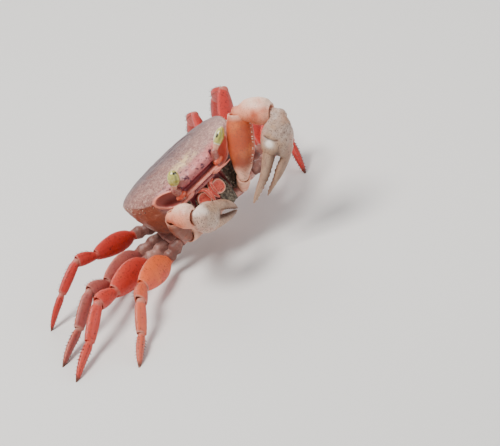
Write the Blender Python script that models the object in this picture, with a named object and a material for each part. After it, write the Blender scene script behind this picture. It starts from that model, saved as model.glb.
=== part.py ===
"""Blue land crab, half grown, in its violet and orange colours.

The model stands as the living animal does when it climbs on to level ground
to feed: left side high, right legs stretched low, both claws raised to the
mouth. X is the crab's left, Y its back, Z up, and the origin lies on the
floor under the middle of the back.
"""

import math
import random

import bmesh
import bpy
from mathutils import Matrix, Vector

# Driving sizes, in metres and degrees. Every other length is a share of the shell width.
SHELL_WIDTH = 0.055
BODY_LIFT = 0.64 * SHELL_WIDTH
BODY_PITCH = 16
BODY_ROLL = 16
JOINT_GAP = 0.0003
RING_SIDES = 10
SHELL_SIDES = 34
THIGH_SIDES = 9
SHIN_SIDES = 8
SEED = 7

# Colour, roughness
FINISHES = {
    "shell": ((0.36, 0.22, 0.24), 0.45),
    "belly": ((0.62, 0.36, 0.30), 0.5),
    "mouth": ((0.62, 0.13, 0.10), 0.45),
    "eye": ((0.42, 0.40, 0.16), 0.25),
    "leg": ((0.66, 0.12, 0.05), 0.42),
    "foot": ((0.55, 0.14, 0.08), 0.5),
    "arm": ((0.68, 0.30, 0.16), 0.45),
    "claw": ((0.46, 0.36, 0.29), 0.45),
}

# Leg roots on the breast plate: share of shell width to the side, forward and up
LEG_ROOTS = {
    1: (0.215, 0.255, -0.400),
    2: (0.380, 0.155, -0.400),
    3: (0.430, 0.000, -0.390),
    4: (0.410, -0.155, -0.365),
    5: (0.350, -0.275, -0.315),
}

# Lengths of hip, thigh, knee, shin and foot, as shares of the shell width
LEG_LENGTHS = {
    2: (0.14, 0.43, 0.21, 0.25, 0.29),
    3: (0.19, 0.50, 0.23, 0.29, 0.33),
    4: (0.19, 0.49, 0.22, 0.28, 0.32),
    5: (0.17, 0.41, 0.18, 0.25, 0.28),
}

# Direction of hip and coming pieces: heading about Z from the crab's left, and rise.
# The foot has a heading only, as it falls to the floor.
LEG_POSES = {
    ("left", 2): ((5, 12), (54, 10), (66, -28), (-12, -81), -102),
    ("left", 3): ((38, -3), (69, 6), (85, -25), (85, -45), 85),
    ("left", 4): ((80, 12), (62, 26), (95, -35), (95, -60), 95),
    ("left", 5): ((98, 6), (77, 16), (92, -40), (92, -62), 92),
    ("right", 2): ((-177, -32), (-139, 10), (-118, 2), (-125, -30), -125),
    ("right", 3): ((178, -15), (-141, 10), (-141, 16), (-141, -30), -141),
    ("right", 4): ((170, -17), (-141, 10), (-146, 20), (-146, -30), -146),
    ("right", 5): ((164, -2), (-156, 13), (-160, 20), (-160, -32), -160),
}

# Thigh height and thickness follow the leg, the middle pairs being the strongest
LEG_BULK = {2: 1.04, 3: 1.04, 4: 0.98, 5: 0.80}


def body_turn():
    """Tilt of the body: nose up and left side up."""
    pitch = Matrix.Rotation(math.radians(-BODY_PITCH), 4, "X")
    roll = Matrix.Rotation(math.radians(-BODY_ROLL), 4, "Y")
    return pitch @ roll


def body_frame():
    return Matrix.Translation((0, 0, BODY_LIFT)) @ body_turn()


def on_body(side, forward, up):
    """A point in the body's own axes, from shares of the shell width."""
    return Vector((side, -forward, up)) * SHELL_WIDTH


def body_point(side, forward, up):
    """The same point in the world."""
    return body_frame() @ on_body(side, forward, up)


def pointing(heading, rise):
    """Unit vector from a heading about Z and a rise above the level, in degrees."""
    turn = math.radians(heading)
    lift = math.radians(rise)
    return Vector((math.cos(lift) * math.cos(turn), math.cos(lift) * math.sin(turn), math.sin(lift)))


def upper_edge(heading, rise):
    """The direction square to a piece that its upper edge faces."""
    return pointing(heading, rise + 90)


def frame_at(joint, along, up):
    """Placement with X along the piece and Z towards its upper edge."""
    side = up.cross(along).normalized()
    top = along.cross(side).normalized()
    turn = Matrix((along.normalized(), side, top)).transposed().to_4x4()
    return Matrix.Translation(joint) @ turn


# Upper edges of the leg pieces face this way
BODY_UP = body_turn().to_3x3() @ Vector((0, 0, 1))


def material(finish):
    found = bpy.data.materials.get(finish)
    if found:
        return found
    colour, roughness = FINISHES[finish]
    made = bpy.data.materials.new(finish)
    made.use_nodes = True
    shader = made.node_tree.nodes["Principled BSDF"]
    shader.inputs["Base Color"].default_value = (*colour, 1)
    shader.inputs["Roughness"].default_value = roughness
    return made


def add_object(name, shape, placement, finish, collection):
    """Make one named object from a bmesh, and close the bmesh."""
    bmesh.ops.recalc_face_normals(shape, faces=shape.faces)
    mesh = bpy.data.meshes.new(name)
    shape.to_mesh(mesh)
    shape.free()
    mesh.materials.append(material(finish))
    mesh.shade_smooth()
    piece = bpy.data.objects.new(name, mesh)
    piece.matrix_world = placement
    collection.objects.link(piece)
    return piece


def blended(keys, count):
    """Smooth values between rows of keys, whose first column runs from start to end."""
    rows = []
    for step in range(count):
        where = keys[0][0] + (keys[-1][0] - keys[0][0]) * step / (count - 1)
        index = 0
        while index < len(keys) - 2 and where > keys[index + 1][0]:
            index += 1
        low, high = keys[index], keys[index + 1]
        before = keys[max(index - 1, 0)]
        after = keys[min(index + 2, len(keys) - 1)]
        share = (where - low[0]) / (high[0] - low[0])
        row = [where]
        for column in range(1, len(low)):
            a, b, c, d = before[column], low[column], high[column], after[column]
            curve = 2 * b + (c - a) * share + (2 * a - 5 * b + 4 * c - d) * share**2
            curve += (3 * b - a - 3 * c + d) * share**3
            row.append(curve / 2)
        rows.append(row)
    return rows


def ring_points(centre, across, lift, top, bottom, side, sides, squareness=1.0):
    """One closed ring, taller above or below its centre as the sizes say."""
    points = []
    for index in range(sides):
        turn = 2 * math.pi * (index + 0.5) / sides
        wide = math.copysign(abs(math.cos(turn)) ** squareness, math.cos(turn))
        high = math.copysign(abs(math.sin(turn)) ** squareness, math.sin(turn))
        reach = top if high > 0 else bottom
        points.append(centre + across * (side * wide) + lift * (reach * high))
    return points


def skin_rings(rings, start_cap=0.0, end_cap=0.0):
    """Join rings of equal count with quads and close the ends on a point.

    A cap value moves the closing point outwards, or inwards where negative.
    """
    shape = bmesh.new()
    loops = [[shape.verts.new(point) for point in ring] for ring in rings]
    count = len(rings[0])
    for low, high in zip(loops, loops[1:]):
        for index in range(count):
            after = (index + 1) % count
            shape.faces.new((low[index], low[after], high[after], high[index]))
    for loop, neighbour, reach in ((loops[0], loops[1], start_cap), (loops[-1], loops[-2], end_cap)):
        middle = sum((vert.co for vert in loop), Vector()) / count
        inner = sum((vert.co for vert in neighbour), Vector()) / count
        tip = shape.verts.new(middle + (middle - inner).normalized() * reach)
        for index in range(count):
            shape.faces.new((loop[index], loop[(index + 1) % count], tip))
    bmesh.ops.triangulate(shape, faces=shape.faces, quad_method="SHORT_EDGE")
    return shape


def swept(centres, sections, up, sides=RING_SIDES, start_cap=0.0, end_cap=0.0, squareness=1.0):
    """Sweep (top, bottom, side) sections along a path of centres."""
    rings = []
    for index, (centre, section) in enumerate(zip(centres, sections)):
        before = centres[max(index - 1, 0)]
        after = centres[min(index + 1, len(centres) - 1)]
        along = (after - before).normalized()
        across = up.cross(along).normalized()
        lift = along.cross(across)
        rings.append(ring_points(centre, across, lift, *section, sides, squareness))
    return skin_rings(rings, start_cap, end_cap)


def knuckle_rows(radius):
    """Rows of a half ball that rounds the near end of a piece, in shares of the shell width."""
    rows = []
    for angle in (65, 35):
        reach = radius * math.cos(math.radians(angle))
        rows.append((-radius * math.sin(math.radians(angle)), 0, reach, reach, reach))
    return rows


def straight_piece(keys, count, knuckle=0.0, end_cap=0.0, sides=RING_SIDES, squareness=1.0):
    """A limb piece along X from keys of (x, bend, top, bottom, side), with a rounded near end."""
    rows = (knuckle_rows(knuckle) if knuckle else []) + blended(keys, count)
    centres = [Vector((row[0], 0, row[1])) * SHELL_WIDTH for row in rows]
    sections = [[value * SHELL_WIDTH for value in row[2:]] for row in rows]
    start_cap = knuckle * (1 - math.sin(math.radians(65))) * SHELL_WIDTH
    return swept(
        centres, sections, Vector((0, 0, 1)), sides, start_cap, end_cap * SHELL_WIDTH, squareness
    )


def cone(radius, height, base, direction, sides=4):
    """A spine or tooth with its root at base and its tip along direction."""
    shape = bmesh.new()
    bmesh.ops.create_cone(
        shape,
        cap_ends=True,
        cap_tris=True,
        segments=sides,
        radius1=radius,
        radius2=0,
        depth=height,
    )
    turn = direction.to_track_quat("Z", "Y").to_matrix().to_4x4()
    middle = Matrix.Translation(base + direction.normalized() * height / 2)
    bmesh.ops.transform(shape, matrix=middle @ turn, verts=shape.verts)
    bmesh.ops.recalc_face_normals(shape, faces=shape.faces)
    return shape


def ellipsoid(centre, radii, turn=None, segments=12, rings=8):
    """A closed egg shape about centre."""
    shape = bmesh.new()
    bmesh.ops.create_uvsphere(shape, u_segments=segments, v_segments=rings, radius=1)
    placement = Matrix.Translation(centre) @ (turn or Matrix()) @ Matrix.Diagonal((*radii, 1))
    bmesh.ops.transform(shape, matrix=placement, verts=shape.verts)
    return shape


def combined(shapes):
    """Several closed shapes in one bmesh."""
    whole = bmesh.new()
    for shape in shapes:
        mesh = bpy.data.meshes.new("shape")
        shape.to_mesh(mesh)
        shape.free()
        whole.from_mesh(mesh)
        bpy.data.meshes.remove(mesh)
    return whole


def largest_surface(mesh):
    """Keep the closed surface that holds the most volume, and drop the rest."""
    shape = bmesh.new()
    shape.from_mesh(mesh)
    bmesh.ops.triangulate(shape, faces=shape.faces)
    waiting = set(shape.faces)
    groups = []
    while waiting:
        group = {waiting.pop()}
        edge_of_group = list(group)
        while edge_of_group:
            face = edge_of_group.pop()
            for edge in face.edges:
                for other in edge.link_faces:
                    if other in waiting:
                        waiting.remove(other)
                        group.add(other)
                        edge_of_group.append(other)
        groups.append(group)

    def volume(group):
        total = 0
        for face in group:
            a, b, c = (vert.co for vert in face.verts)
            total += a.dot(b.cross(c)) / 6
        return total

    best = max(groups, key=volume)
    doomed = [face for face in shape.faces if face not in best]
    bmesh.ops.delete(shape, geom=doomed, context="FACES")
    shape.to_mesh(mesh)
    shape.free()


def boolean_result(piece, helper, operation, solver):
    change = piece.modifiers.new("change", "BOOLEAN")
    change.operation = operation
    change.object = helper
    change.solver = solver
    bpy.context.view_layer.update()
    evaluated = piece.evaluated_get(bpy.context.evaluated_depsgraph_get())
    result = bpy.data.meshes.new_from_object(evaluated)
    piece.modifiers.remove(change)
    if result.polygons:
        largest_surface(result)
    return result


def is_closed(mesh):
    uses = {}
    for polygon in mesh.polygons:
        for key in polygon.edge_keys:
            uses[key] = uses.get(key, 0) + 1
    return bool(uses) and all(count == 2 for count in uses.values())


def reshape(piece, other_shapes, operation):
    """Union with, or cut by, each bmesh in other_shapes, which lie in the piece's own axes."""
    for shape in other_shapes:
        bmesh.ops.recalc_face_normals(shape, faces=shape.faces)
        helper_mesh = bpy.data.meshes.new("helper")
        shape.to_mesh(helper_mesh)
        shape.free()
        helper = bpy.data.objects.new("helper", helper_mesh)
        helper.matrix_world = piece.matrix_world
        bpy.context.scene.collection.objects.link(helper)
        old = piece.data
        piece.data = boolean_result(piece, helper, operation, "EXACT")
        if not is_closed(piece.data):
            failed = piece.data
            piece.data = old
            piece.data = boolean_result(piece, helper, operation, "MANIFOLD")
            bpy.data.meshes.remove(failed)
        bpy.data.meshes.remove(old)
        bpy.data.objects.remove(helper)
        bpy.data.meshes.remove(helper_mesh)
    piece.data.name = piece.name
    piece.data.shade_smooth()


def grown_copy(piece, other):
    """The other piece in this piece's axes, thicker by the joint gap."""
    shape = bmesh.new()
    shape.from_mesh(other.data)
    shape.normal_update()
    bmesh.ops.transform(
        shape, matrix=piece.matrix_world.inverted() @ other.matrix_world, verts=shape.verts
    )
    shape.normal_update()
    moves = [(vert, vert.normal * JOINT_GAP) for vert in shape.verts]
    for vert, move in moves:
        vert.co += move
    return shape


def nest(piece, *others):
    """Hollow a piece so that each of the others lies in it with the joint gap all round."""
    reshape(piece, [grown_copy(piece, other) for other in others], "DIFFERENCE")


def egg_outline(half_width, forward, back, narrowing, sides):
    """Plan of the body at one height: x, y and how far back each point lies, from 0 to 1."""
    points = []
    for index in range(sides):
        turn = 2 * math.pi * (index + 0.5) / sides
        wide = math.copysign(abs(math.cos(turn)) ** 0.86, math.cos(turn))
        deep = math.copysign(abs(math.sin(turn)) ** 0.86, math.sin(turn))
        behind = max(deep, 0)
        reach = back if deep > 0 else forward
        points.append((half_width * wide * (1 - narrowing * behind**2), reach * deep, behind))
    return points


def stacked(levels, sides):
    """A body built up from plans. A level is its height, half width, reach forward, reach back,
    change of height at the rear edge, and narrowing there."""
    rings = []
    for height, half_width, forward, back, rear_change, narrowing in levels:
        ring = []
        for x, y, behind in egg_outline(half_width, forward, back, narrowing, sides):
            ring.append(Vector((x, y, height + rear_change * behind**1.5)) * SHELL_WIDTH)
        rings.append(ring)
    return skin_rings(rings)


# Levels of the back shell and of the breast plate, as stacked reads them
SHELL_LEVELS = (
    (-0.335, 0.330, 0.290, 0.250, 0.045, 0.20),
    (-0.322, 0.385, 0.335, 0.300, 0.045, 0.20),
    (-0.270, 0.435, 0.365, 0.345, 0.040, 0.20),
    (-0.190, 0.465, 0.385, 0.375, 0.025, 0.22),
    (-0.120, 0.485, 0.402, 0.392, 0.010, 0.24),
    (-0.085, 0.491, 0.398, 0.396, 0.000, 0.25),
    (-0.040, 0.497, 0.418, 0.398, -0.010, 0.26),
    (0.010, 0.500, 0.424, 0.392, -0.025, 0.27),
    (0.040, 0.486, 0.403, 0.370, -0.030, 0.28),
    (0.060, 0.450, 0.360, 0.330, -0.032, 0.28),
    (0.075, 0.380, 0.285, 0.262, -0.030, 0.26),
    (0.085, 0.265, 0.190, 0.175, -0.020, 0.20),
    (0.090, 0.130, 0.090, 0.085, -0.010, 0.10),
)

PLATE_LEVELS = (
    (-0.450, 0.240, 0.180, 0.190, 0.040, 0.10),
    (-0.440, 0.285, 0.220, 0.225, 0.042, 0.10),
    (-0.400, 0.310, 0.240, 0.245, 0.044, 0.12),
    (-0.350, 0.300, 0.235, 0.235, 0.045, 0.15),
    (-0.342, 0.280, 0.220, 0.220, 0.045, 0.15),
)

# Sockets of the eyes and the mouth frame, as shares of the shell width
SOCKET_MIDDLE = (0.268, 0.392, -0.052)
SOCKET_RADII = (0.118, 0.085, 0.068)
SOCKET_SWING = 20
SOCKET_DROOP = -24
MOUTH_MIDDLE = (0, 0.400, -0.282)
MOUTH_SIZE = (0.31, 0.12, 0.26)


def shell(collection):
    """The back shell with its sides, hollowed for the eyes and the mouth."""
    piece = add_object("carapace", stacked(SHELL_LEVELS, SHELL_SIDES), body_frame(), "shell", collection)
    cuts = []
    side_of, forward, up = SOCKET_MIDDLE
    for side in (1, -1):
        turn = Matrix.Rotation(math.radians(side * SOCKET_SWING), 4, "Z")
        turn = turn @ Matrix.Rotation(math.radians(side * SOCKET_DROOP), 4, "Y")
        radii = Vector(SOCKET_RADII) * SHELL_WIDTH
        cuts.append(ellipsoid(on_body(side * side_of, forward, up), radii, turn, 16, 10))
    mouth = bmesh.new()
    bmesh.ops.create_cube(mouth, size=1)
    spread = Matrix.Diagonal((*(Vector(MOUTH_SIZE) * SHELL_WIDTH), 1))
    placement = Matrix.Translation(on_body(*MOUTH_MIDDLE)) @ spread
    bmesh.ops.transform(mouth, matrix=placement, verts=mouth.verts)
    cuts.append(mouth)
    reshape(piece, cuts, "DIFFERENCE")
    return piece


# Top, bottom and side of a leg root, from the plate outwards
ROOT_SECTIONS = ((0.040, 0.040, 0.045), (0.046, 0.046, 0.050), (0.042, 0.042, 0.046))


def breast_plate(collection):
    """The plate under the body, with the ten leg roots that grow from it."""
    piece = add_object("sternum", stacked(PLATE_LEVELS, 24), body_frame(), "belly", collection)
    roots = []
    for sign in (1, -1):
        for side, forward, up in LEG_ROOTS.values():
            near = on_body(sign * side * 0.5, forward * 0.7, up + 0.004)
            far = on_body(sign * side, forward, up)
            half_way = near.lerp(far, 0.6)
            sizes = [[share * SHELL_WIDTH for share in row] for row in ROOT_SECTIONS]
            up_axis = Vector((0, 0, 1))
            end_cap = -0.015 * SHELL_WIDTH
            roots.append(swept([near, half_way, far], sizes, up_axis, 7, end_cap=end_cap))
    reshape(piece, roots, "UNION")
    return piece



# The tail flap folded under the body: forward, up, half width and half thickness
FLAP_ROWS = (
    (-0.312, -0.318, 0.105, 0.018),
    (-0.285, -0.372, 0.118, 0.020),
    (-0.230, -0.425, 0.110, 0.018),
    (-0.190, -0.446, 0.118, 0.020),
    (-0.130, -0.468, 0.092, 0.015),
    (-0.085, -0.476, 0.095, 0.018),
    (-0.040, -0.478, 0.068, 0.014),
    (0.010, -0.479, 0.068, 0.017),
    (0.070, -0.478, 0.044, 0.013),
    (0.110, -0.476, 0.014, 0.008),
)


def tail_flap(collection):
    centres = [on_body(0, forward, up) for forward, up, _, _ in FLAP_ROWS]
    sections = []
    for _, _, wide, thick in FLAP_ROWS:
        sections.append([thick * SHELL_WIDTH, thick * SHELL_WIDTH, wide * SHELL_WIDTH])
    shape = swept(centres, sections, Vector((0, 0, -1)), 10)
    add_object("abdomen", shape, body_frame(), "belly", collection)


# The feeler and the side rod of a mouth leg: side, forward and up
MOUTH_FEELER = (
    (0.050, 0.378, -0.180),
    (0.026, 0.388, -0.200),
    (0.020, 0.390, -0.245),
    (0.026, 0.384, -0.285),
)
MOUTH_ROD = (
    (0.118, 0.362, -0.400),
    (0.130, 0.362, -0.330),
    (0.132, 0.364, -0.250),
    (0.122, 0.366, -0.185),
)


def mouth_leg(side_name, sign, collection):
    """The outer mouth leg of one side: a lower plate, an upper disc, a feeler and a side rod."""

    def share(*radii):
        return Vector(radii) * SHELL_WIDTH

    def rod(points, radius):
        centres = [on_body(sign * side, forward, up) for side, forward, up in points]
        size = radius * SHELL_WIDTH
        return swept(centres, [[size] * 3] * len(centres), Vector((0, -1, 0)), 6)

    disc = ellipsoid(on_body(sign * 0.072, 0.369, -0.228), share(0.050, 0.023, 0.058), None, 9, 6)
    piece = add_object("maxilliped_" + side_name, disc, body_frame(), "mouth", collection)
    lower = ellipsoid(on_body(sign * 0.080, 0.366, -0.330), share(0.050, 0.020, 0.072), None, 9, 6)
    reshape(piece, [lower, rod(MOUTH_FEELER, 0.012), rod(MOUTH_ROD, 0.011)], "UNION")


# The eye's lean towards the crab's left, forward and up: both stay near upright as the body tilts
EYE_LEANS = {"left": (0.84, 0.06, 0.52), "right": (0.45, 0.36, 0.82)}
# How far each eye is lifted beyond the bend of its stalk, in shell widths
EYE_LIFTS = {"left": 0.020, "right": 0.0}


def eye(side_name, sign, back_shell, collection):
    """A stalk that stands on the floor of its socket, and the eye on its top."""
    lean = EYE_LEANS[side_name]
    upward = on_body(*lean).normalized()
    bend = on_body(sign * 0.205, 0.430, -0.002)
    centres = [on_body(sign * 0.186, 0.376, -0.088), on_body(sign * 0.192, 0.404, -0.050), bend]
    radii = [0.024, 0.022, 0.021]
    lift = EYE_LIFTS[side_name]
    for reach, radius in ((0.035, 0.024), (0.062 + lift, 0.030), (0.075 + lift, 0.032)):
        centres.append(bend + upward * reach * SHELL_WIDTH)
        radii.append(radius)
    sections = [[radius * SHELL_WIDTH] * 3 for radius in radii]
    stalk = swept(centres, sections, Vector((0, -1, 0)), 10)
    piece = add_object("eyestalk_" + side_name, stalk, body_frame(), "arm", collection)
    nest(back_shell, piece)
    rows = ((0, 0.033), (0.018, 0.038), (0.040, 0.038), (0.062, 0.030), (0.076, 0.015))
    start = bend + upward * ((0.075 + lift) * SHELL_WIDTH + JOINT_GAP)
    centres = [start + upward * reach * SHELL_WIDTH for reach, _ in rows]
    sections = [[radius * SHELL_WIDTH] * 3 for _, radius in rows]
    ball = swept(centres, sections, Vector((0, -1, 0)), 12, end_cap=0.004 * SHELL_WIDTH)
    add_object("eye_" + side_name, ball, body_frame(), "eye", collection)


def feeler(side_name, sign, back_shell, collection):
    """The short antenna beside the inner corner of the eye socket."""
    rows = (
        (0.100, 0.395, -0.116, 0.014),
        (0.122, 0.410, -0.119, 0.018),
        (0.148, 0.420, -0.121, 0.016),
        (0.168, 0.427, -0.124, 0.008),
        (0.215, 0.427, -0.128, 0.006),
        (0.262, 0.420, -0.128, 0.005),
    )
    centres = [on_body(sign * side, forward, up) for side, forward, up, _ in rows]
    sections = [[radius * SHELL_WIDTH] * 3 for _, _, _, radius in rows]
    shape = swept(centres, sections, Vector((0, 0, 1)), 6)
    piece = add_object("antenna_" + side_name, shape, body_frame(), "mouth", collection)
    nest(back_shell, piece)


# Sections of a leg's hip and thigh: share of the hip or thigh passed, then top, bottom and side
HIP_ROWS = (
    (0.0, 0.042, 0.042, 0.038),
    (0.28, 0.053, 0.050, 0.043),
    (0.50, 0.041, 0.040, 0.034),
    (0.74, 0.051, 0.049, 0.038),
    (0.97, 0.042, 0.042, 0.032),
)
THIGH_ROWS = (
    (0.10, 0.062, 0.058, 0.036),
    (0.24, 0.092, 0.082, 0.044),
    (0.44, 0.106, 0.091, 0.048),
    (0.66, 0.101, 0.084, 0.046),
    (0.87, 0.082, 0.066, 0.040),
    (1.0, 0.059, 0.048, 0.033),
)
# Keys along a piece: share of its length, bend, top, bottom and side
KNEE_KEYS = (
    (0.0, 0.0, 0.038, 0.036, 0.030),
    (0.14, 0.0, 0.050, 0.042, 0.034),
    (0.55, 0.0, 0.070, 0.052, 0.040),
    (0.85, 0.0, 0.070, 0.054, 0.040),
    (1.0, 0.0, 0.060, 0.050, 0.036),
)
SHIN_KEYS = (
    (0.0, 0.0, 0.036, 0.034, 0.029),
    (0.14, 0.0, 0.050, 0.040, 0.033),
    (0.50, 0.0, 0.055, 0.045, 0.034),
    (0.85, 0.0, 0.050, 0.044, 0.032),
    (1.0, 0.0, 0.044, 0.040, 0.029),
)
FOOT_KEYS = (
    (0.0, 0.0, 0.030, 0.030, 0.025),
    (0.12, 0.003, 0.039, 0.036, 0.029),
    (0.40, 0.012, 0.037, 0.035, 0.028),
    (0.70, 0.012, 0.028, 0.027, 0.022),
    (0.90, 0.005, 0.017, 0.016, 0.014),
    (1.0, 0.0, 0.009, 0.009, 0.008),
)
JOINT_STEP = 0.014
HIP_STEP = 0.022
END_CAP = 0.006
TIP_SINK = 0.004


def scaled_keys(keys, length, bulk):
    """Keys with the first column in shares of the shell width, and the rest thickened."""
    return [(row[0] * length, *(value * bulk for value in row[1:])) for row in keys]


def thigh(name, joint, hip_way, thigh_way, hip_length, thigh_length, bulk, collection):
    """Hip and thigh in one, along two directions. Returns where the thigh ends."""
    hip_end = joint + pointing(*hip_way) * hip_length * SHELL_WIDTH
    knee = hip_end + pointing(*thigh_way) * thigh_length * SHELL_WIDTH
    placement = frame_at(joint, pointing(*thigh_way), BODY_UP)
    inward = placement.inverted()
    rows = []
    for back, _, top, bottom, side in knuckle_rows(0.042):
        rows.append((joint + pointing(*hip_way) * back * SHELL_WIDTH, (top, bottom, side)))
    for share, *section in HIP_ROWS:
        rows.append((joint.lerp(hip_end, share), section))
    for share, *section in THIGH_ROWS:
        rows.append((hip_end.lerp(knee, share), [value * bulk for value in section]))
    centres = [inward @ centre for centre, _ in rows]
    sections = [[value * SHELL_WIDTH for value in section] for _, section in rows]
    near_cap = 0.004 * SHELL_WIDTH
    shape = swept(centres, sections, Vector((0, 0, 1)), THIGH_SIDES, near_cap, END_CAP * SHELL_WIDTH)
    return add_object(name, shape, placement, "leg", collection), knee


def leg_piece(name, joint, way, keys, length, bulk, finish, count, collection):
    """A knee or shin. Returns it with its far end."""
    placement = frame_at(joint, pointing(*way), BODY_UP)
    rows = scaled_keys(keys, length, bulk)
    shape = straight_piece(rows, count, rows[0][2], END_CAP, SHIN_SIDES)
    piece = add_object(name, shape, placement, finish, collection)
    return piece, joint + pointing(*way) * length * SHELL_WIDTH


# Rows of spines round a foot: how far to the side and how far up each row grows
SPINE_ROWS = ((0.75, 0.75), (-0.75, 0.75), (0.75, -0.75), (-0.75, -0.75))
SPINES_PER_ROW = 4
SPINE_SIZE = (0.00034, 0.00100)
SPINE_STATIONS = 24


def foot_spines(rows, chance):
    """Short spines along the four corners of a foot."""
    spines = []
    profile = blended(rows, SPINE_STATIONS)
    thick, tall = SPINE_SIZE
    for row_index, (wide, high) in enumerate(SPINE_ROWS):
        for step in range(SPINES_PER_ROW):
            x, bend, top, bottom, side = profile[4 + step * 4 + 2 * (row_index % 2)]
            reach = top if high > 0 else bottom
            root = Vector((x, side * wide * 0.86, bend + reach * high * 0.86)) * SHELL_WIDTH
            way_out = Vector((0.5, wide, high)).normalized()
            size = chance.uniform(0.9, 1.1)
            spines.append(cone(thick * size, tall * size, root - way_out * thick, way_out, 3))
    return combined(spines)


def foot(name, joint, heading, length, bulk, chance, collection):
    """The pointed foot, which falls to the floor and ends on a small flat there."""
    rise = -math.degrees(math.asin((joint.z / SHELL_WIDTH + TIP_SINK) / length))
    placement = frame_at(joint, pointing(heading, rise), upper_edge(heading, rise))
    rows = scaled_keys(FOOT_KEYS, length, bulk)
    shape = straight_piece(rows, 6, rows[0][2], 0.002, 8)
    piece = add_object(name, shape, placement, "foot", collection)
    reshape(piece, [foot_spines(rows, chance)], "UNION")
    flat_to_floor(piece)
    return piece


def flat_to_floor(piece):
    """Cut off what lies below the floor, which leaves a small flat."""
    shape = bmesh.new()
    shape.from_mesh(piece.data)
    bmesh.ops.transform(shape, matrix=piece.matrix_world, verts=shape.verts)
    everything = shape.verts[:] + shape.edges[:] + shape.faces[:]
    cut = bmesh.ops.bisect_plane(
        shape, geom=everything, plane_co=(0, 0, 0), plane_no=(0, 0, -1), clear_outer=True
    )
    rim = [item for item in cut["geom_cut"] if isinstance(item, bmesh.types.BMEdge)]
    bmesh.ops.holes_fill(shape, edges=rim, sides=0)
    bmesh.ops.triangulate(shape, faces=shape.faces)
    bmesh.ops.transform(shape, matrix=piece.matrix_world.inverted(), verts=shape.verts)
    bmesh.ops.recalc_face_normals(shape, faces=shape.faces)
    shape.to_mesh(piece.data)
    shape.free()


def walking_leg(side_name, number, chance, collection):
    sign = 1 if side_name == "left" else -1
    side, forward, up = LEG_ROOTS[number]
    hip_way, thigh_way, knee_way, shin_way, heading = LEG_POSES[side_name, number]
    hip_length, thigh_length, knee_length, shin_length, foot_length = LEG_LENGTHS[number]
    bulk = LEG_BULK[number]
    step = JOINT_STEP * SHELL_WIDTH
    stem = f"{side_name}_leg_{number}_"
    root = body_point(sign * side, forward, up)
    outward = (root - body_point(sign * side * 0.5, forward * 0.7, up)).normalized()
    joint = root + outward * HIP_STEP * SHELL_WIDTH
    upper, joint = thigh(
        stem + "merus", joint, hip_way, thigh_way, hip_length, thigh_length, bulk, collection
    )
    joint += pointing(*thigh_way) * step
    knee, joint = leg_piece(
        stem + "carpus", joint, knee_way, KNEE_KEYS, knee_length, bulk, "leg", 5, collection
    )
    joint += pointing(*knee_way) * step
    shin, joint = leg_piece(
        stem + "propodus", joint, shin_way, SHIN_KEYS, shin_length, bulk, "leg", 5, collection
    )
    joint += pointing(*shin_way) * step
    tip = foot(stem + "dactyl", joint, heading, foot_length, bulk, chance, collection)
    nest(upper, knee)
    nest(knee, shin)
    nest(shin, tip)
    return upper


# Claw arms. Directions are heading and rise, and lengths are shares of the shell width.
# The left claw is the large one. A wrist lies beyond the carpus, as the palm folds back past it.
ARM_POSES = {
    "left": {
        "hip": ((-92, 54), 0.150),
        "thigh": ((22, 72), 0.475),
        "thigh_edge": Vector((0.848, -0.438, -0.296)),
        "knee": ((-46, -8), 0.260),
        "knee_edge": Vector((0.464, 0.349, 0.814)),
        "wrist": 0.110,
        "palm": Vector((-0.580, -0.028, -0.814)),
        "palm_edge": Vector((-0.711, 0.509, 0.482)),
        "reach": 1.0,
        "bulk": 1.0,
    },
    "right": {
        "hip": ((-143, 19), 0.140),
        "thigh": ((-125, 56), 0.350),
        "thigh_edge": Vector((0, 0, 1)),
        "knee": ((-52, -1), 0.180),
        "knee_edge": Vector((0.464, 0.349, 0.814)),
        "wrist": 0.025,
        "palm": Vector((0.756, 0.450, -0.475)),
        "palm_edge": Vector((0.324, 0.255, 0.911)),
        "reach": 0.69,
        "bulk": 0.90,
    },
}
ARM_KNUCKLE = 0.056
ARM_STEP = 0.018

# Keys along each arm piece: share of its length, bend, top, bottom and side
ARM_HIP_KEYS = (
    (0.0, 0.0, 0.040, 0.040, 0.038),
    (0.5, 0.0, 0.056, 0.052, 0.050),
    (1.0, 0.0, 0.056, 0.054, 0.050),
)
ARM_THIGH_KEYS = (
    (0.0, 0.0, 0.042, 0.042, 0.040),
    (0.14, 0.0, 0.070, 0.066, 0.052),
    (0.45, 0.0, 0.104, 0.092, 0.068),
    (0.80, 0.0, 0.104, 0.094, 0.070),
    (1.0, 0.0, 0.080, 0.076, 0.060),
)
ARM_KNEE_KEYS = (
    (0.0, 0.0, 0.046, 0.044, 0.044),
    (0.22, 0.0, 0.092, 0.066, 0.072),
    (0.60, 0.0, 0.114, 0.090, 0.092),
    (0.88, 0.0, 0.104, 0.088, 0.088),
    (1.0, 0.0, 0.078, 0.070, 0.070),
)
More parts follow.
